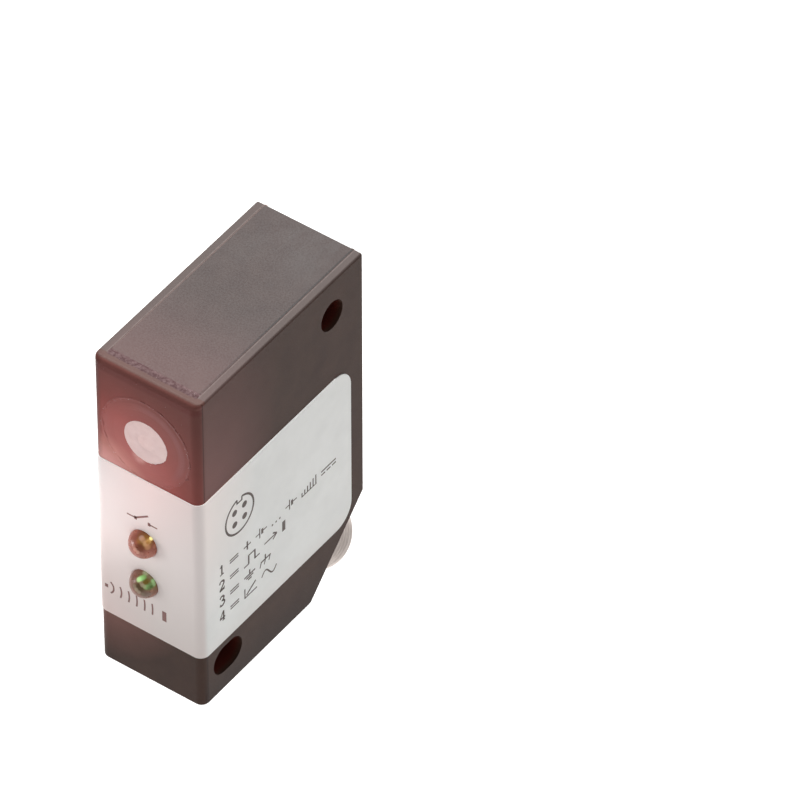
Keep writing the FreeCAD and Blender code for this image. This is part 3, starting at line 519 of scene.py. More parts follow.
lensLooks = {
    # its node, tints of the resin, and the painted glints, reflections and glow on it: right, up, size, tone,
    # amount, glow
    "amber_lens": ("led_output", (184, 102, 82), (168, 88, 66), (
        (0.12, 0.16, 1.75, (188, 132, 58), 0.9, 0.02), (-0.05, 0.51, 1.0, (168, 98, 52), 0.8, 0.0),
        (0.10, 0.24, 0.9, (190, 128, 40), 0.9, 0.02), (-0.26, -0.37, 1.10, (140, 70, 40), 0.9, 0.0),
        (-0.14, 0.30, 0.60, (240, 192, 172), 0.9, 0.1), (-0.04, 0.16, 0.62, (232, 178, 134), 0.8, 0.08),
        (0.13, -0.06, 0.66, (240, 190, 136), 0.95, 0.14), (0.30, 0.10, 0.60, (240, 190, 112), 0.95, 0.14),
        (0.24, -0.26, 0.66, (226, 164, 118), 0.85, 0.08), (0.24, 0.00, 0.34, (186, 118, 52), 0.7, 0.0),
        (0.66, -0.22, 0.50, (214, 140, 112), 0.7, 0.0), (0.45, 0.27, 0.46, (255, 244, 160), 1.0, 0.8),
        (-0.65, -0.22, 0.52, (214, 148, 128), 0.8, 0.0), (-0.54, -0.42, 0.50, (232, 168, 144), 0.9, 0.03),
        (-0.38, -0.58, 0.50, (232, 168, 144), 0.9, 0.0), (-0.14, -0.68, 0.45, (200, 130, 108), 0.7, 0.0))),
    "green_lens": ("led_echo", (164, 104, 86), (142, 96, 72), (
        (0.15, 0.10, 2.4, (160, 132, 82), 0.9, 0.0), (0.05, -0.78, 1.3, (120, 94, 74), 0.8, 0.0),
        (-0.35, -0.34, 1.20, (96, 72, 30), 0.9, 0.0), (0.01, 0.06, 0.95, (156, 128, 44), 0.9, 0.0),
        (0.30, 0.47, 0.95, (190, 166, 128), 0.8, 0.0), (0.05, 0.60, 0.70, (206, 216, 172), 0.9, 0.1),
        (-0.36, 0.18, 0.62, (208, 248, 172), 1.0, 0.38), (-0.20, 0.26, 0.66, (172, 232, 148), 1.0, 0.22),
        (-0.05, 0.34, 0.60, (160, 216, 128), 0.95, 0.12), (0.50, 0.09, 0.52, (178, 218, 154), 0.95, 0.16),
        (0.55, -0.10, 0.52, (168, 206, 142), 0.9, 0.12), (0.34, -0.16, 0.62, (132, 178, 104), 0.9, 0.05),
        (0.10, -0.28, 0.62, (150, 196, 122), 0.95, 0.12), (0.28, -0.34, 0.50, (120, 150, 86), 0.8, 0.0),
        (0.43, -0.26, 0.40, (92, 116, 44), 0.8, 0.0), (-0.22, -0.04, 0.44, (198, 182, 144), 0.9, 0.0),
        (-0.15, -0.16, 0.46, (204, 190, 156), 0.9, 0.05), (-0.02, -0.25, 0.42, (190, 196, 146), 0.9, 0.05),
        (-0.65, -0.22, 0.50, (172, 146, 118), 0.8, 0.0), (-0.54, -0.44, 0.52, (190, 168, 138), 0.9, 0.0),
        (-0.38, -0.60, 0.50, (180, 158, 130), 0.85, 0.0), (-0.12, -0.72, 0.46, (140, 122, 92), 0.7, 0.0))),
}
lensRight, lensUp = Vector((0.814, 0.581, 0.0)), Vector((-0.407, 0.570, 0.713))
lensOut = lensRight.cross(lensUp)
lensShare = 2.5 / 2.9               # dome radius over flange radius


def clearLens(slot):
    # clear cast resin with some haze in it, with glints, reflections, glow and the look of its cup painted on
    # its surface
    node, tint, haze, spots = lensLooks[slot]
    skin = Skin(slot)
    low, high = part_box(node)
    middle = Vector(((low.x + high.x) / 2, frontY, (low.z + high.z) / 2))
    radius = (high.z - low.z) / 2 * lensShare
    cloud = skin.noise(0.9)
    colour, glow = cloud.remap(0.35, 0.7).mix(tint, haze), 0.0
    for right, up, size, light, amount, lit in spots:
        out = math.sqrt(max(0.0, 1 - right * right - up * up))
        spot = middle + radius * (right * lensRight + up * lensUp + out * lensOut)
        soft = skin.distance(spot).remap(0.35 * size * mm, size * mm, amount, 0.0, True)
        colour = soft.mix(colour, light)
        # painted glow: the spots are also made to glow
        glow = glow + soft * lit
    return skin.coat(colour, cloud.remap(0.3, 0.7, 0.26, 0.36), [(cloud, 0.004)], {
        "Emission Color": colour, "Emission Strength": glow, "Transmission Weight": 0.15, "IOR": 1.52})


def paintedGlowFacets(name, dark, light, strength, facet=0.42):
    # stamped metal facets with painted glints that glow
    skin = Skin(name)
    pick = wire(skin.tree, "ShaderNodeSeparateColor", {"Color": skin.cells(facet, "Color")})
    bright = pick.remap(0.62, 0.95)
    colour = bright.mix(dark, light)
    return skin.coat(colour, 0.25, [(skin.cells(facet), 0.02)], {
        "Emission Color": colour, "Emission Strength": bright * strength, "Metallic": 0.8})


def printInk(name, dark, light):
    skin = Skin(name)
    cloud = skin.noise(0.5, 4.0, 0.7)
    colour = cloud.remap(0.3, 0.7).mix(dark, light)
    return skin.coat(colour, cloud.remap(0.3, 0.7, 0.45, 0.65), [(cloud, 0.003)])


def grainGlint(slot):
    skin = Skin(slot)
    cloud = skin.noise(0.1, 2.0)
    return skin.coat(cloud.mix((206, 192, 188), (255, 250, 244)), 0.3, [(cloud, 0.004)])


finishes = {}
for makeFinish, slots in (
        (labelFilm, ["label_film"]), (matchingResin, ["matching_resin"]), (boardLaminate, ["board_laminate"]),
        (seamAdhesive, ["seam_adhesive"]), (grainGlint, ["seam_glint"]), (mouldedPlastic, plasticLooks),
        (polishedMetal, metalLooks), (castPiece, castLooks), (clearLens, lensLooks)):
    finishes.update({slot: makeFinish(slot) for slot in slots})
finishOfNode = {**slotOfNode, "cover_adhesive": "seam_adhesive"}
for nodeName, node in cadNodes.items():
    for materialSlot in node.material_slots:
        materialSlot.material = finishes[finishOfNode[nodeName]]
print("stage: finishes on the nodes,", len(finishes))


# Mesh helpers

squareCorners = ((-1, -1), (1, -1), (1, 1), (-1, 1))


def finishPiece(name, mesh, finish, slot=None, replaced=()):
    # puts a finished mesh in the scene: at the origin, on the one body; finish is a slot's name or a material
    piece = bpy.data.objects.new(name, mesh)
    bpy.context.scene.collection.objects.link(piece)
    mesh.materials.clear()
    mesh.materials.append(finishes.get(finish, finish))
    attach(piece, "root")
    (slot or finish) in slotOfNode.values()
    if replaced:
        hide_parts(*replaced)


def meshFrom(name, vertices, faces, smooth=True, weld=True):
    mesh = bpy.data.meshes.new(name)
    mesh.from_pydata([tuple(v) for v in vertices], [], faces)
    mesh.update()
    cleaner = bmesh.new()
    cleaner.from_mesh(mesh)
    if weld:
        bmesh.ops.remove_doubles(cleaner, verts=cleaner.verts, dist=1e-7)
    bmesh.ops.recalc_face_normals(cleaner, faces=cleaner.faces)
    cleaner.to_mesh(mesh)
    cleaner.free()
    for polygon in mesh.polygons:
        polygon.use_smooth = smooth
    return mesh


def turnedMesh(name, outline, steps=96, closed=False):
    # a turned surface about Z from (radius, height) points; closed joins the last point to the first
    vertices, faces = [], []
    for step in range(steps):
        angle = 2 * math.pi * step / steps
        for radius, height in outline:
            vertices.append((radius * mm * math.cos(angle), radius * mm * math.sin(angle), height * mm))
    count = len(outline)
    for step in range(steps):
        here, following = step * count, (step + 1) % steps * count
        for index in range(count if closed else count - 1):
            after = (index + 1) % count
            faces.append((here + index, following + index, following + after, here + after))
    return meshFrom(name, vertices, faces)


def blockMesh(name, xLow, xHigh, yLow, yHigh, zLow, zHigh):
    corners = [(x * mm, y * mm, z * mm) for z in (zLow, zHigh)
               for x, y in ((xLow, yLow), (xHigh, yLow), (xHigh, yHigh), (xLow, yHigh))]
    return meshFrom(name, corners, [(0, 1, 2, 3), (4, 5, 6, 7), (0, 1, 5, 4), (1, 2, 6, 5), (2, 3, 7, 6),
                                    (3, 0, 4, 7)], False)


def joinMeshes(name, meshes):
    whole = bmesh.new()
    for mesh in meshes:
        whole.from_mesh(mesh)
    joined = bpy.data.meshes.new(name)
    whole.to_mesh(joined)
    whole.free()
    return joined


def pressMesh(mesh, axis, level, share):
    # flattens a mesh along one axis about a level
    middle, scale = Vector((0, 0, 0)), [1, 1, 1, 1]
    middle[axis], scale[axis] = level, share
    mesh.transform(Matrix.Translation(middle) @ Matrix.Diagonal(scale) @ Matrix.Translation(-middle))


# Geometry node helpers

def startTree(name, sockets):
    # sockets are (name, kind, default); every tree also takes a finish
    tree = bpy.data.node_groups.new(name, "GeometryNodeTree")
    for label, kind, default in (("Geometry", "Geometry", None), *sockets, ("Finish", "Material", None)):
        socket = tree.interface.new_socket(label, in_out="INPUT", socket_type="NodeSocket" + kind)
        if default is not None:
            socket.default_value = default
    tree.interface.new_socket("Geometry", in_out="OUTPUT", socket_type="NodeSocketGeometry")
    given = wire(tree, "NodeGroupInput", None, None)
    return tree, {socket.name: Value(socket) for socket in given.outputs if socket.name}


def endTree(tree, given, geometry, smooth=True):
    # every tree ends in Realize Instances and Set Material
    shaded = wire(tree, "GeometryNodeSetShadeSmooth", {"Geometry": geometry, "Shade Smooth": smooth})
    real = wire(tree, "GeometryNodeRealizeInstances", {"Geometry": shaded})
    coated = wire(tree, "GeometryNodeSetMaterial", {"Geometry": real, "Material": given["Finish"]})
    wire(tree, "NodeGroupOutput", {"Geometry": coated}, None)
    return tree


def runTree(name, tree, sourceMesh, finish, values):
    # evaluates a tree on a mesh and gives back the plain mesh
    source = bpy.data.objects.new(name + "Source", sourceMesh)
    bpy.context.scene.collection.objects.link(source)
    modifier = source.modifiers.new("nodes", "NODES")
    modifier.node_group = tree
    values = {**values, "Finish": finishes[finish]}
    for item in tree.interface.items_tree:
        if item.item_type == "SOCKET" and item.in_out == "INPUT" and item.name in values:
            modifier[item.identifier] = values[item.name]
    bpy.context.view_layer.update()
    evaluated = source.evaluated_get(bpy.context.evaluated_depsgraph_get())
    mesh = bpy.data.meshes.new_from_object(evaluated)
    source.modifiers.clear()
    bpy.data.objects.remove(source)
    mesh.name = name
    return mesh


def pathMesh(name, points, closed=False):
    mesh = bpy.data.meshes.new(name)
    edges = [(i, i + 1) for i in range(len(points) - 1)]
    if closed:
        edges.append((len(points) - 1, 0))
    mesh.from_pydata([tuple(p) for p in points], edges, [])
    return mesh


def makeBeadTree():
    # an uneven bead of adhesive along a path
    tree, given = startTree("glueBead", (
        ("Radius", "Float", 0.2 * mm), ("Step", "Float", 0.1 * mm), ("Wander", "Vector", (0.0, 0.0, 0.0)),
        ("Wave length", "Float", 1.5 * mm), ("Swell", "Float", 0.4), ("Sides", "Int", 8),
        ("Seed", "Float", 0.0)))
    curve = wire(tree, "GeometryNodeMeshToCurve", {"Mesh": given["Geometry"]})
    fine = wire(tree, "GeometryNodeResampleCurve", {"Curve": curve, "Length": given["Step"]}, mode="LENGTH")
    noise = wire(tree, "ShaderNodeTexNoise", {
        "Vector": wire(tree, "GeometryNodeInputPosition"), "W": given["Seed"],
        "Scale": 1.0 / given["Wave length"], "Detail": 3.0}, None, noise_dimensions="4D").outputs
    centred = vectorMath("SUBTRACT", Value(noise["Color"]), {1: (0.5, 0.5, 0.5)})
    wander = vectorMath("MULTIPLY", centred, {1: given["Wander"]})
    moved = wire(tree, "GeometryNodeSetPosition", {"Geometry": fine, "Offset": wander})
    swell = Value(noise["Fac"]).remap(0.25, 0.75, 1.0 - given["Swell"], 1.0 + given["Swell"])
    ring = wire(tree, "GeometryNodeCurvePrimitiveCircle", {
        "Resolution": given["Sides"], "Radius": given["Radius"]}, mode="RADIUS")
    swollen = wire(tree, "GeometryNodeSetCurveRadius", {"Curve": moved, "Radius": swell})
    return endTree(tree, given, wire(tree, "GeometryNodeCurveToMesh", {
        "Curve": swollen, "Profile Curve": ring, "Scale": swell, "Fill Caps": True}))


def makeSpeckTree():
    # small grains scattered over a surface
    tree, given = startTree("scatteredGrains", (
        ("Density", "Float", 1e6), ("Smallest", "Float", 0.03 * mm), ("Largest", "Float", 0.08 * mm),
        ("Seed", "Int", 1)))
    points = wire(tree, "GeometryNodeDistributePointsOnFaces", {
        "Mesh": given["Geometry"], "Density": given["Density"], "Seed": given["Seed"]},
        distribute_method="RANDOM")
    grain = wire(tree, "GeometryNodeMeshIcoSphere", {"Radius": 1.0, "Subdivisions": 1})
    # the sockets of a random value go by number: 0 and 1 for vectors, 2 and 3 for plain numbers
    size = wire(tree, "FunctionNodeRandomValue", {
        2: given["Smallest"], 3: given["Largest"], "Seed": given["Seed"]}, 1, data_type="FLOAT")
    turn = wire(tree, "FunctionNodeRandomValue", {1: (6.28, 6.28, 6.28), "Seed": given["Seed"]},
                data_type="FLOAT_VECTOR")
    return endTree(tree, given, wire(tree, "GeometryNodeInstanceOnPoints", {
        "Points": points, "Instance": grain, "Rotation": turn, "Scale": size}), False)


def makeThreadTree():
    # cuts a screw thread into a turned surface about Z
    tree, given = startTree("screwThread", (
        ("Pitch", "Float", 1.0 * mm), ("Depth", "Float", 0.55 * mm), ("Major radius", "Float", 6.0 * mm),
        ("From", "Float", 2.0 * mm), ("To", "Float", 12.0 * mm), ("Runout", "Float", 0.8 * mm)))
    x, y, z = axesOf(wire(tree, "GeometryNodeInputPosition"))
    turns = z / given["Pitch"] - reckon("ARCTAN2", y, x) / (2 * math.pi)
    ridge = abs(reckon("FRACT", turns) - 0.5)                   # 0.5 at the crest
    groove = ridge.remap(0.06, 0.44, 1.0, 0.0)                  # flat crest and root
    start = z.remap(given["From"], given["From"] + given["Runout"])
    end = z.remap(given["To"] - given["Runout"], given["To"], 1.0, 0.0)
    flat = wire(tree, "ShaderNodeCombineXYZ", {"X": x, "Y": y})
    radius = vectorMath("LENGTH", flat, output="Value")
    outside = reckon("GREATER_THAN", radius, given["Major radius"] - 0.02 * mm)
    depth = groove * given["Depth"] * (start * end * outside)
    shift = vectorMath("SCALE", vectorMath("NORMALIZE", flat), {"Scale": depth * -1.0})
    return endTree(tree, given, wire(tree, "GeometryNodeSetPosition", {
        "Geometry": given["Geometry"], "Offset": shift}))


beadTree, speckTree, threadTree = makeBeadTree(), makeSpeckTree(), makeThreadTree()
print("stage: node trees built")


# Plug shell with its screw thread, in the plug's own frame: Z runs out of the housing

plugLook = dict(collarRadius=7.0, collarLength=1.5, neckRadius=5.3, neckLength=0.9, threadRadius=6.0,
                length=13.5, endChamfer=0.6, cavityRadius=4.4, mouthChamfer=0.3, shankRadius=5.2,
                shankLength=5.0, boreRadius=3.7, shoulder=2.6, sealInner=5.7, sealOuter=6.5,
                sealDepth=0.8, pitch=1.0, threadDepth=0.5,
                ringsPerPitch=10, steps=128, keyWidth=1.0, keyHeight=0.6, keyFrom=4.6, keyTo=12.7,
                bevel=0.12, lead=0.3)


def makePlugShell():
    look = Look(**plugLook)
    neckEnd = look.collarLength + look.neckLength
    threadEnd = look.length - look.endChamfer
    bevel, threadLength = look.bevel, threadEnd - neckEnd
    outline = [
        (look.boreRadius, -look.shankLength), (look.shankRadius - bevel, -look.shankLength),
        (look.shankRadius, -look.shankLength + bevel), (look.shankRadius, 0), (look.sealInner, 0),
        (look.sealInner, look.sealDepth), (look.sealOuter, look.sealDepth), (look.sealOuter, 0),
        (look.collarRadius - bevel, 0), (look.collarRadius, bevel),
        (look.collarRadius, look.collarLength - bevel), (look.collarRadius - bevel, look.collarLength),
        (look.neckRadius, look.collarLength),
        (look.neckRadius, neckEnd), (look.threadRadius - look.lead, neckEnd)]
    rings = int(threadLength / look.pitch * look.ringsPerPitch)
    outline += [(look.threadRadius, neckEnd + look.lead + (threadLength - look.lead) * ring / rings)
                for ring in range(rings + 1)]
    outline += [
        (look.threadRadius - look.endChamfer, look.length),
        (look.cavityRadius + look.mouthChamfer, look.length),
        (look.cavityRadius, look.length - look.mouthChamfer), (look.cavityRadius, look.shoulder),
        (look.boreRadius, look.shoulder)]
    blank = turnedMesh("plugBlank", outline, look.steps, True)
    cut = runTree("plugThread", threadTree, blank, "nickel_plate", {
        "Pitch": look.pitch * mm, "Depth": look.threadDepth * mm, "Major radius": look.threadRadius * mm,
        "From": neckEnd * mm, "To": threadEnd * mm})
    key = blockMesh("plugKey", -look.keyWidth / 2, look.keyWidth / 2, look.cavityRadius - look.keyHeight,
                    look.cavityRadius + 0.15, look.keyFrom, look.keyTo)
    shell = joinMeshes("plugShell", [cut, key])
    outward = Vector(mounts["plug_thread"]["axis"]).normalized()
    root = Vector(mounts["plug_thread"]["pos_m"]) - outward * ((neckEnd + threadEnd) / 2 * mm)
    side = outward.cross(Vector((1, 0, 0)))
    shell.transform(Matrix(((1, side.x, outward.x, root.x), (0, side.y, outward.y, root.y),
                            (0, side.z, outward.z, root.z), (0, 0, 0, 1))))
    shell.set_sharp_from_angle(angle=math.radians(38))
    finishPiece("plugShellThreaded", shell, "nickel_plate", replaced=["plug_shell"])


makePlugShell()
print("stage: plug shell threaded")


# Adhesive beads and the small light grains caught in them

beadLook = dict(seamBack=2.28, seamSink=0.07, seamRadius=0.82, seamFlat=0.16, seamWander=(0.0, 0.40, 0.06),
                seamWave=1.4, seamSwell=0.08, step=0.09, cupSeam=8.28,
                cupArcs=((90, 8), (66, 10), (44, 14), (20, 14), (-4, 12), (-27, 10)))
circleBeads = {
    # round the transducer: radius, depth behind the front, bead's radius, wander, wave length, swell, seed,
    # how flat, finish, slot where it differs, and the arc's start and sweep in degrees
    "cupSeamBead": (beadLook["cupSeam"], 0.18, 0.27, 0.30, 1.3, 0.6, 8.0, 0.28, "cup_plastic",
                    "dark_adhesive", 0.0, 360.0),
    **{"cupSeamArc%d" % number: (
        8.36, -0.05, 0.11, 1.2, 0.7, 0.8, 12.0 + number, 0.20, "dark_adhesive", None, *arc)
       for number, arc in enumerate(beadLook["cupArcs"])},
    "portEdgeBead": (3.96, 0.05, 0.11, 0.26, 0.8, 0.5, 5.0, 0.35, "matching_resin", None, 0.0, 360.0),
    # a dark arc low on the port's right side stands in for its shadow
    "portShadowArc": (4.02, -0.03, 0.08, 0.40, 0.8, 0.6, 6.0, 0.35, "dark_adhesive", None, -74.0, 40.0),
}


def circlePoints(radius, y, count, start=0.0, sweep=360.0):
    angles = [math.radians(start + sweep * i / count) for i in range(count)]
    return [Vector((cupX + radius * math.cos(angle), y, cupZ + radius * math.sin(angle))) for angle in angles]


def makeBeads():
    look = Look(**beadLook)
    seamX, seamZ = halfWidth - rimWidth * mm, coverTop - look.seamSink * mm
    frontSeam = [Vector((side * seamX, frontY + look.seamBack * mm, seamZ)) for side in (-1, 1)]
    front = runTree("coverSeamBead", beadTree, pathMesh("seam", frontSeam), "seam_adhesive", {
        "Radius": look.seamRadius * mm, "Step": look.step * mm,
        "Wander": [value * mm for value in look.seamWander], "Wave length": look.seamWave * mm,
        "Swell": look.seamSwell, "Sides": 20, "Seed": 3.0})
    pressMesh(front, 2, seamZ, look.seamFlat)
    finishPiece("coverSeamBead", front, "seam_adhesive", "dark_adhesive")
    for name, row in circleBeads.items():
        radius, depth, bead, wander, wave, swell, seed, flat, finish, slot, start, sweep = row
        points = circlePoints(radius * mm, frontY + depth * mm, int(sweep / 2), start, sweep)
        ring = runTree(name, beadTree, pathMesh("ring", points, sweep >= 360), finish, {
            "Radius": bead * mm, "Step": look.step * mm,
            "Wander": (wander * mm, 0.3 * wander * mm, wander * mm), "Wave length": wave * mm,
            "Swell": swell, "Seed": seed})
        pressMesh(ring, 1, frontY, flat)
        finishPiece(name, ring, finish, slot)


diodeCollar = ((2.42, -0.10), (2.42, 0.05), (2.54, 0.08), (2.80, 0.10), (2.80, -0.10))
ringLooks = {
    # rings round the axis of a node: radius and height out of the front face
    "cupBand": ("transducer_cup", "cup_plastic", (
        (6.00, -0.03), (6.15, -0.002), (6.40, 0.006), (6.70, 0.014), (6.95, 0.018), (7.20, 0.016),
        (7.50, 0.008), (7.80, -0.002), (7.90, -0.03))),
    "discFillet": ("transducer_cup", "matching_resin", (
        (1.40, -0.130), (1.50, -0.1005), (2.20, -0.087), (3.00, -0.055), (3.60, -0.018), (3.92, 0.004),
        (4.00, 0.006), (4.03, -0.03), (3.90, -0.13))),
    "ledOutputCollar": ("led_output", "label_film", diodeCollar),
    "ledEchoCollar": ("led_echo", "label_film", diodeCollar),
}


def frontMatrix(node):
    # local Z out of the front face, origin on the front face behind the lens's tip
    low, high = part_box(node)
    return Matrix(((1, 0, 0, (low.x + high.x) / 2), (0, 0, -1, frontY), (0, 1, 0, (low.z + high.z) / 2),
                   (0, 0, 0, 1)))


def makeRings():
    # a low band turned into the cup, the resin drawn up to the edge of its port,
    # and the film's edge round the diodes
    for name, (node, finish, outline) in ringLooks.items():
        ring = turnedMesh(name, outline, 180, True)
        ring.transform(frontMatrix(node))
        finishPiece(name, ring, finish)


grainLook = dict(smallest=0.020, largest=0.045, seamDensity=2.2, cupDensity=2.0, frontDensity=0.03,
                 seamHalf=0.35, ringHalf=0.3, ringSteps=60, above=0.03)


def makeGrains():
    # light grains caught in the adhesive, and a few on the front
    look = Look(**grainLook)
    seamX, seamY = halfWidth - rimWidth * mm, frontY + beadLook["seamBack"] * mm
    seamZ, oneFace, count = coverTop + look.above * mm, [(0, 1, 2, 3)], look.ringSteps
    strip = meshFrom("strip", [(a * seamX, seamY + b * look.seamHalf * mm, seamZ) for a, b in squareCorners],
                     oneFace, False)
    inner, outer = (circlePoints((beadLook["cupSeam"] + side * look.ringHalf) * mm, frontY, count)
                    for side in (-1, 1))
    ring = meshFrom("ring", inner + outer, [(i, (i + 1) % count, count + (i + 1) % count, count + i)
                                            for i in range(count)], False)
    left, right, high, low = -halfWidth + 1 * mm, halfWidth - 1.5 * mm, topZ - 1 * mm, topZ - 20 * mm
    front = meshFrom("front", [(left, frontY, high), (right, frontY, high), (right, frontY, low),
                               (left, frontY, low)], oneFace, False)
    grains = []
    for number, (surface, density) in enumerate((
            (strip, look.seamDensity), (ring, look.cupDensity), (front, look.frontDensity))):
        grains.append(runTree("grains", speckTree, surface, "seam_glint", {
            "Density": density / mm ** 2, "Smallest": look.smallest * mm, "Largest": look.largest * mm,
            "Seed": 4 + number}))
    finishPiece("seamGrains", joinMeshes("seamGrains", grains), "seam_glint")


makeBeads()
makeRings()
makeGrains()
print("stage: adhesive beads and grains laid")


# Light-emitting diodes: clear lens, lead frame with its reflector cup, chip and bond wire

ledLook = dict(radius=2.5, flangeRadius=2.9, flangeThickness=1.0, height=8.6, standOut=2.5, steps=72,
               arcSteps=24, cupTop=-0.35, cupDepth=0.8, cupRadius=1.5, cupFloor=0.6,
               cupInner=0.82, cupThickness=0.35, frameThickness=0.5, anvilWidth=2.4,
               legPitch=2.54, legHalf=0.25, postFrom=-1.95, postTo=-1.35, postDrop=0.25,
               # ends of the lead frame's parts below the floor of the reflector cup
               anvilTop=0.3, anvilBase=1.3, legTop=1.2, postLegTop=1.5, postBase=1.6,
               chipHalf=0.2, chipHeight=0.3, wireRadius=0.03, wireStep=0.12, glow=1.2)


def makeLens(node, name, slot):
    look = Look(**ledLook)
    domeBase, back = look.standOut - look.radius, look.standOut - look.height
    flange = back + look.flangeThickness
    outline = [(0.0, back), (look.flangeRadius - 0.1, back), (look.flangeRadius, back + 0.1),
               (look.flangeRadius, flange - 0.1), (look.flangeRadius - 0.1, flange),
               (look.radius + 0.05, flange), (look.radius, flange + 0.1), (look.radius, domeBase)]
    for step in range(1, look.arcSteps + 1):
        angle = math.pi / 2 * step / look.arcSteps
        radius = look.radius * math.cos(angle) if step < look.arcSteps else 0.0
        outline.append((radius, domeBase + look.radius * math.sin(angle)))
    lens = turnedMesh(name, outline, look.steps)
    lens.transform(frontMatrix(node))
    lens.set_sharp_from_angle(angle=math.radians(40))
    finishPiece(name, lens, slot, replaced=[node])


def makeLedInside(node, name, dark, light):
    look = Look(**ledLook)
    top, floor = look.cupTop, look.cupTop - look.cupDepth
    half, back, leg = look.frameThickness / 2, look.standOut - look.height - 0.02, look.legPitch / 2
    anvil, low = look.anvilWidth / 2, floor - look.cupThickness
    frameMesh = joinMeshes(name + "Frame", [
        blockMesh("anvil", -half, half, -anvil, anvil, floor - look.anvilBase, floor - look.anvilTop),
        blockMesh("leg", -half, half, leg - look.legHalf, leg + look.legHalf, back, floor - look.legTop),
        blockMesh("postLeg", -half, half, -leg - look.legHalf, -leg + look.legHalf, back,
                  floor - look.postLegTop)])
    lit = joinMeshes(name + "Reflector", [
        turnedMesh("cup", (
            (0.0, floor), (look.cupFloor, floor), (look.cupRadius * look.cupInner, top),
            (look.cupRadius, top), (look.cupRadius, low), (0.0, low)), 40),
        blockMesh("post", -half, half, look.postFrom, look.postTo, floor - look.postBase,
                  top - look.postDrop),
        blockMesh("chip", *(-look.chipHalf, look.chipHalf) * 2, floor, floor + look.chipHeight)])
    wirePoints = [Vector(point) * mm for point in (
        (0, 0.05, floor + 0.22), (0, -0.4, floor + 0.75), (0, -1.0, top + 0.05), (0, -1.65, top - 0.25))]
    bond = runTree(name + "Wire", beadTree, pathMesh("wire", wirePoints), "gold_contact", {
        "Radius": look.wireRadius * mm, "Step": look.wireStep * mm, "Wander": (0.0, 0.0, 0.0),
        "Swell": 0.0, "Sides": 6})
    for part, mesh, finish in (("Frame", frameMesh, "tinned_metal"),
                               ("Reflector", lit, paintedGlowFacets(name + "Facets", dark, light, look.glow)),
                               ("BondWire", bond, "gold_contact")):
        mesh.transform(frontMatrix(node))
        finishPiece(name + part, mesh, finish)


makeLens("led_output", "ledOutputLens", "amber_lens")
makeLens("led_echo", "ledEchoLens", "green_lens")
makeLedInside("led_output", "ledOutput", (170, 112, 78), (255, 230, 140))
makeLedInside("led_echo", "ledEcho", (132, 120, 84), (150, 252, 150))
print("stage: diodes cast")


# Print on the label: plain numerals with equals signs, and generic electrical signs

printLook = dict(proud=0.012, sink=0.02, rowHeight=2.1, firstBase=-32.5, rowPitch=3.35, numeralFrom=-29.7,
                 numeralWidth=1.5, equalsFrom=-26.9, equalsWidth=2.2, equalsLine=0.26, equalsUp=(0.66, 1.18),
                 signFrom=-23.3, signGap=1.25, plugPlanAt=(-24.2, -23.2), plugPlanRadius=3.55,
                 frontSigns=(("switch", -3.9, -23.6), ("sound", -8.6, -42.6), ("wall", 2.4, -42.8)))


def smoothPoints(points, steps):
    # a Catmull-Rom line through the points; each point is (across, up, width)
    if len(points) < 3:
        return list(points)
    padded = [points[0]] + list(points) + [points[-1]]
    found = []
    for a, b, c, d in zip(padded, padded[1:], padded[2:], padded[3:]):
        for step in range(steps):
            t = step / steps
            found.append(tuple(0.5 * (2 * q + (r - p) * t + (2 * p - 5 * q + 4 * r - s) * t * t
                                      + (3 * q - p - 3 * r + s) * t ** 3) for p, q, r, s in zip(a, b, c, d)))
    found.append(tuple(points[-1]))
    return found


def inkStroke(points, smooth=0, closed=False):
    # a flat stroke with its own width at each point, as vertices and faces in (across, up)
    line = smoothPoints(points, smooth) if smooth else list(points)
    vertices, faces, count = [], [], len(line)
    for index, (a, b, width) in enumerate(line):
        before = line[index - 1] if index or closed else line[index]
        after = line[(index + 1) % count] if index < count - 1 or closed else line[index]
        along = Vector((after[0] - before[0], after[1] - before[1]))
        across = Vector((-along.y, along.x)).normalized() * width / 2
        vertices += [(a + across.x, b + across.y), (a - across.x, b - across.y)]
    for index in range(count if closed else count - 1):
        here, following = 2 * index, 2 * ((index + 1) % count)
        faces.append((here, here + 1, following + 1, following))
    return vertices, faces


def ringStroke(a, b, radius, width, count=40, start=0.0, sweep=360.0):
    points = []
    for index in range(count if sweep >= 360 else count + 1):
        angle = math.radians(start + sweep * index / count)
        points.append((a + radius * math.cos(angle), b + radius * math.sin(angle), width))
    return inkStroke(points, closed=sweep >= 360)


def dotShape(a, b, radius, count=20):
    angles = [2 * math.pi * i / count for i in range(count)]
    corners = [(a + radius * math.cos(angle), b + radius * math.sin(angle)) for angle in angles]
    return corners, [tuple(range(count))]


def barShape(a, b, width, height):
    return [(a, b), (a + width, b), (a + width, b + height), (a, b + height)], [(0, 1, 2, 3)]


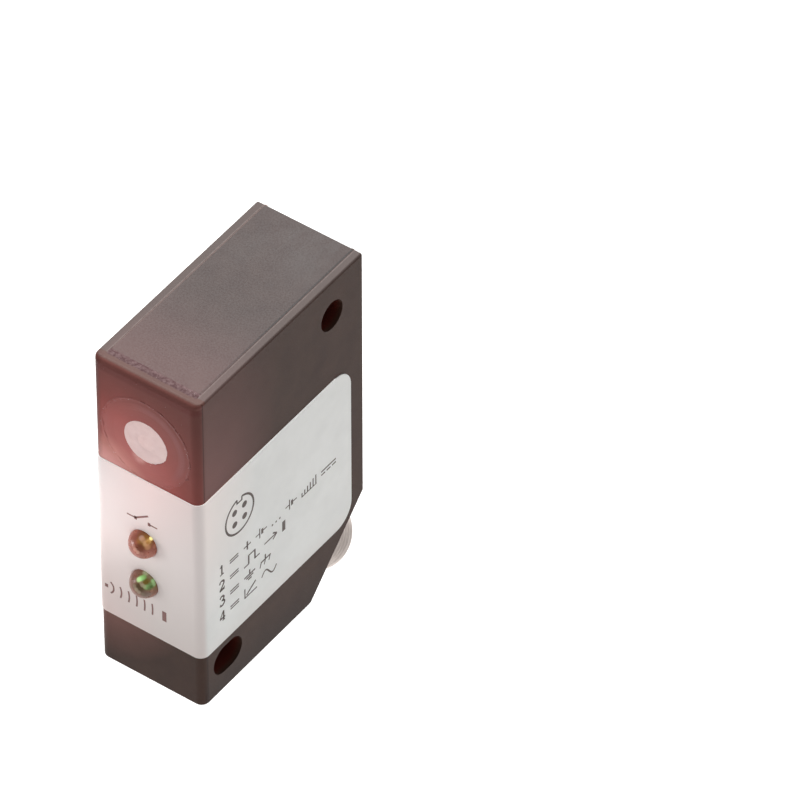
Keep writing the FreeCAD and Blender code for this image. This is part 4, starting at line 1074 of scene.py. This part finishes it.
thick, thin = 0.24, 0.11
numerals = {
    # strokes with thick and thin parts, on a field 1 wide and 1 high: steps of the curve and its points
    1: ((0, (0.52, 0.03, thick), (0.52, 0.97, thick)),
        (4, (0.22, 0.80, thin), (0.40, 0.86, thin * 1.5), (0.54, 0.97, thick)),
        (0, (0.20, 0.03, thin), (0.84, 0.03, thin))),
    2: ((5, (0.12, 0.74, thick), (0.22, 0.92, thin * 1.6), (0.50, 0.97, thin * 1.5), (0.80, 0.84, thick),
         (0.80, 0.62, thick), (0.50, 0.34, thin * 1.6), (0.12, 0.06, thin * 1.4)),
        (0, (0.10, 0.07, thick), (0.90, 0.07, thick)), (0, (0.88, 0.05, thin), (0.92, 0.24, thin))),
    3: ((5, (0.14, 0.80, thick), (0.30, 0.95, thin * 1.6), (0.56, 0.96, thin * 1.6), (0.78, 0.80, thick),
         (0.68, 0.60, thin * 1.8), (0.40, 0.53, thin * 1.2)),
        (5, (0.40, 0.53, thin * 1.2), (0.72, 0.48, thin * 1.8), (0.88, 0.27, thick), (0.68, 0.06, thin * 1.8),
         (0.36, 0.02, thin * 1.6), (0.10, 0.16, thick))),
    4: ((0, (0.68, 0.02, thick), (0.68, 0.97, thick)),
        (0, (0.66, 0.97, thin * 1.4), (0.06, 0.30, thin * 1.4)),
        (0, (0.04, 0.29, thin * 1.5), (0.94, 0.29, thin * 1.5)), (0, (0.48, 0.03, thin), (0.88, 0.03, thin))),
}
printSigns = {
    # width of each generic sign and its straight strokes: line, then across and up of both ends
    "plus": (1.8, ((0.26, 0, 1.05, 1.8, 1.05), (0.36, 0.9, 0.15, 0.9, 1.95))),
    "cell": (2.9, ((0.22, 0, 1.05, 1.0, 1.05), (0.24, 1.05, 0.0, 1.05, 2.1), (0.52, 1.7, 0.5, 1.7, 1.6),
                   (0.22, 1.9, 1.05, 2.9, 1.05))),
    "dots": (2.3, ((0.34, 0, 0.18, 0.34, 0.18), (0.34, 0.95, 0.18, 1.29, 0.18),
                   (0.34, 1.9, 0.18, 2.24, 0.18))),
    "ticks": (3.9, ((0.2, 0, 0.08, 3.9, 0.08),
                    *((0.26, 0.13 + 0.72 * i, 0.1, 0.13 + 0.72 * i, 0.9 + 0.23 * i) for i in range(6)))),
    "steady": (3.8, ((0.28, 0, 1.4, 3.8, 1.4),
                     *((0.28, 1.4 * i, 0.7, 1.4 * i + 1.0, 0.7) for i in range(3)))),
    "pulse": (4.0, ((0.28, 0, 0.14, 1.3, 0.14), (0.36, 1.2, 0.1, 1.2, 2.0), (0.28, 1.1, 1.95, 2.9, 1.95),
                    (0.36, 2.8, 2.0, 2.8, 0.1), (0.28, 2.7, 0.14, 4.0, 0.14))),
    "arrow": (3.3, ((0.26, 0, 1.05, 2.9, 1.05), (0.3, 2.2, 1.75, 3.2, 1.05), (0.3, 2.2, 0.35, 3.2, 1.05))),
    "wall": (0.9, ((0.8, 0.45, 0, 0.45, 2.1),)),
    "earth": (2.8, ((0.32, 1.4, 2.1, 1.4, 1.15), (0.3, 0, 1.1, 2.8, 1.1), (0.3, 0.5, 0.62, 2.3, 0.62),
                    (0.3, 0.95, 0.14, 1.85, 0.14))),
    "chassis": (2.8, ((0.32, 1.4, 2.1, 1.4, 1.15), (0.32, 0.2, 1.1, 2.8, 1.1), (0.24, 0.3, 1.05, 0, 0.1),
                      (0.24, 1.4, 1.05, 1.1, 0.1), (0.24, 2.6, 1.05, 2.3, 0.1))),
    "ramp": (3.2, ((0.26, 0.1, 0, 0.1, 2.1), (0.26, 0, 0.13, 3.2, 0.13), (0.36, 0.5, 0.5, 2.9, 1.9))),
    "switch": (5.8, ((0.26, 0, 0.5, 1.7, 0.5), (0.34, 1.6, 0.5, 4.1, 2.2), (0.26, 4.3, 0.5, 5.8, 0.5),
                     (0.7, 1.4, 0.5, 1.9, 0.5), (0.7, 4.0, 0.5, 4.5, 0.5))),
    "sound": (3.4, ((0.7, 0, 1.05, 0.6, 1.05),)),
}
printRows = {1: ("plus", "cell", "dots", "cell", "ticks", "steady"), 2: ("pulse", "arrow", "wall"),
             3: ("earth", "chassis"), 4: ("ramp", "wave")}


def drawSign(name, a, b):
    # the shapes of one sign from its lower left corner, and its width
    if name == "wave":
        points = [(a + 0.2 * i, b + 1.05 + 0.9 * math.sin(0.2 * i * math.pi / 1.9), 0.28) for i in range(20)]
        return [inkStroke(points)], 3.8
    width, strokes = printSigns[name]
    shapes = [inkStroke([(a + x, b + y, line), (a + xEnd, b + yEnd, line)])
              for line, x, y, xEnd, yEnd in strokes]
    if name == "sound":
        for number in range(1, 7):
            half = math.degrees(math.asin(0.8 / number))
            shapes.append(ringStroke(a + 0.2, b + 1.05, 1.5 * number, 0.3, 10, -half, 2 * half))
    return shapes, width


def plugPlan(a, b, radius):
    # the plug's face with its four pins, seen from outside
    notch, line = b + radius - 0.8, 0.3
    shapes = [ringStroke(a, b, radius, 0.4, 60, 100, 340)]
    for x in (a - 0.62, a + 0.62):
        shapes.append(inkStroke([(x, b + radius, line), (x, notch, line)]))
    shapes.append(inkStroke([(a - 0.75, notch, line), (a + 0.75, notch, line)]))
    for quarter in range(4):
        angle = math.radians(45 + 90 * quarter)
        shapes.append(dotShape(a + radius * 0.5 * math.cos(angle), b + radius * 0.5 * math.sin(angle), 0.62))
    return shapes


def extruded(shapes, lift):
    # closed thin solids; lift turns (across, up, out) into a point of the frame
    vertices, faces = [], []
    for outline, flats in shapes:
        base, count, used = len(vertices), len(outline), {}
        for out in (printLook["proud"], -printLook["sink"]):
            vertices += [lift(a, b, out) for a, b in outline]
        for flat in flats:
            faces.append(tuple(base + index for index in flat))
            faces.append(tuple(base + count + index for index in reversed(flat)))
            for start, end in zip(flat, flat[1:] + flat[:1]):
                key = (min(start, end), max(start, end))
                used[key] = None if key in used else (start, end)
        for start, end in filter(None, used.values()):
            faces.append((base + start, base + count + start, base + count + end, base + end))
    return meshFrom("print", vertices, faces, False, False)


def makePrint():
    look = Look(**printLook)
    labelLow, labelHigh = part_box("label")
    shapes = []
    for row, signs in printRows.items():
        base = look.firstBase - look.rowPitch * (row - 1)
        for smooth, *points in numerals[row]:
            vertices, faces = inkStroke(points, smooth)
            shapes.append(([(look.numeralFrom + x * look.numeralWidth, base + y * look.rowHeight)
                            for x, y in vertices], faces))
        shapes += [barShape(look.equalsFrom, base + up, look.equalsWidth, look.equalsLine)
                   for up in look.equalsUp]
        across = look.signFrom
        for sign in signs:
            drawn, width = drawSign(sign, across, base)
            shapes += drawn
            across += width + look.signGap
    shapes += plugPlan(*look.plugPlanAt, look.plugPlanRadius)
    side = extruded(shapes, lambda a, b, out: (labelHigh.x + out * mm, a * mm, b * mm))
    finishPiece("labelPrintSide", side, printInk("sideInk", (70, 56, 50), (100, 84, 78)))
    front = []
    for sign, across, up in look.frontSigns:
        front += drawSign(sign, across, up)[0]
    face = extruded(front, lambda a, b, out: (a * mm, labelLow.y - out * mm, b * mm))
    finishPiece("labelPrintFront", face, printInk("frontInk", (122, 84, 78), (150, 106, 100)))


makePrint()
print("stage: label printed")


# Floor, light and camera

# in metres
stageLook = dict(floorDrop=0.16, floorHalf=3.0, floorTone=(246, 246, 246), floorLight=(250, 250, 250),
                 skyBright=0.50, skyDark=0.24, darkTowards=(0.414, -0.580, 0.701))
stage = Look(**stageLook)


def makeFloor():
    level = cadBox[0].z - stage.floorDrop
    corners = [(a * stage.floorHalf, b * stage.floorHalf, level) for a, b in squareCorners]
    mesh = meshFrom("studioFloor", corners, [(0, 1, 2, 3)], False)
    skin = Skin("paleFloor")
    shader = skin.tree.nodes["Principled BSDF"]
    feed(shader, {"Base Color": skin.noise(50).mix(stage.floorTone, stage.floorLight), "Roughness": 0.9,
                  "Specular IOR Level": 0.1})
    floor = bpy.data.objects.new("studioFloor", mesh)
    mesh.materials.append(skin.finish)
    bpy.context.scene.collection.objects.link(floor)


def makeWorld():
    # an even room that is darker behind the photographer, which gives the rounded edges their dark bands
    world = bpy.data.worlds.new("studio")
    bpy.context.scene.world = world
    world.use_nodes = True
    where = wire(world.node_tree, "ShaderNodeTexCoord", None, "Generated")
    facing = vectorMath("DOT_PRODUCT", where, {1: Vector(stage.darkTowards).normalized()}, "Value")
    feed(world.node_tree.nodes["Background"], {
        "Color": (1.0, 0.99, 0.98, 1.0),
        "Strength": facing.remap(0.5, 0.98, stage.skyBright, stage.skyDark, True)})


lamps = {
    # kind, place, target and size or radius in metres, power in watts, colour, spread of a spot in degrees
    "topSoftbox": ("AREA", (-0.55, 0.75, 1.0), (0, -0.01, -0.02), 1.1, 33.0, (1.0, 0.99, 0.98), None),
    "redGlow": ("SPOT", (-0.0278, -0.0688, -0.051), (-0.003, -0.034, -0.0075), 0.012, 0.055,
                (1.0, 0.30, 0.28), 25.0),
    "cornerFlare": ("SPOT", (-0.030, -0.056, -0.028), (-0.010, -0.034, -0.025), 0.006, 0.020,
                    (1.0, 0.96, 0.96), 66.0),
}
cameraLook = dict(place=(619.66, -821.65, 993.82), aim=(-0.41784, 0.57524, -0.70321), lens=421.1, sensor=36.0)


def placeThing(name, data, place, aim):
    thing = bpy.data.objects.new(name, data)
    thing.location = place
    thing.rotation_euler = Vector(aim).to_track_quat("-Z", "Y").to_euler()
    bpy.context.scene.collection.objects.link(thing)
    return thing


def makeLamps():
    for name, (kind, place, target, size, power, colour, spread) in lamps.items():
        data = bpy.data.lights.new(name, kind)
        if kind == "AREA":
            data.shape = "SQUARE"
            data.size = size
        else:
            data.shadow_soft_size = size
            data.spot_size = math.radians(spread)
            data.spot_blend = 1.0
        data.energy = power
        data.color = colour
        placeThing(name, data, place, Vector(target) - Vector(place)).visible_camera = False


def makeCamera():
    look = Look(**cameraLook)
    data = bpy.data.cameras.new("photoView")
    data.lens = look.lens
    data.sensor_width = look.sensor
    bpy.context.scene.camera = placeThing("photoView", data, Vector(look.place) * mm, look.aim)


makeFloor()
makeWorld()
makeLamps()
makeCamera()
bpy.context.scene.view_settings.view_transform = "Standard"
bpy.context.scene.view_settings.look = "None"
print("stage: studio ready")
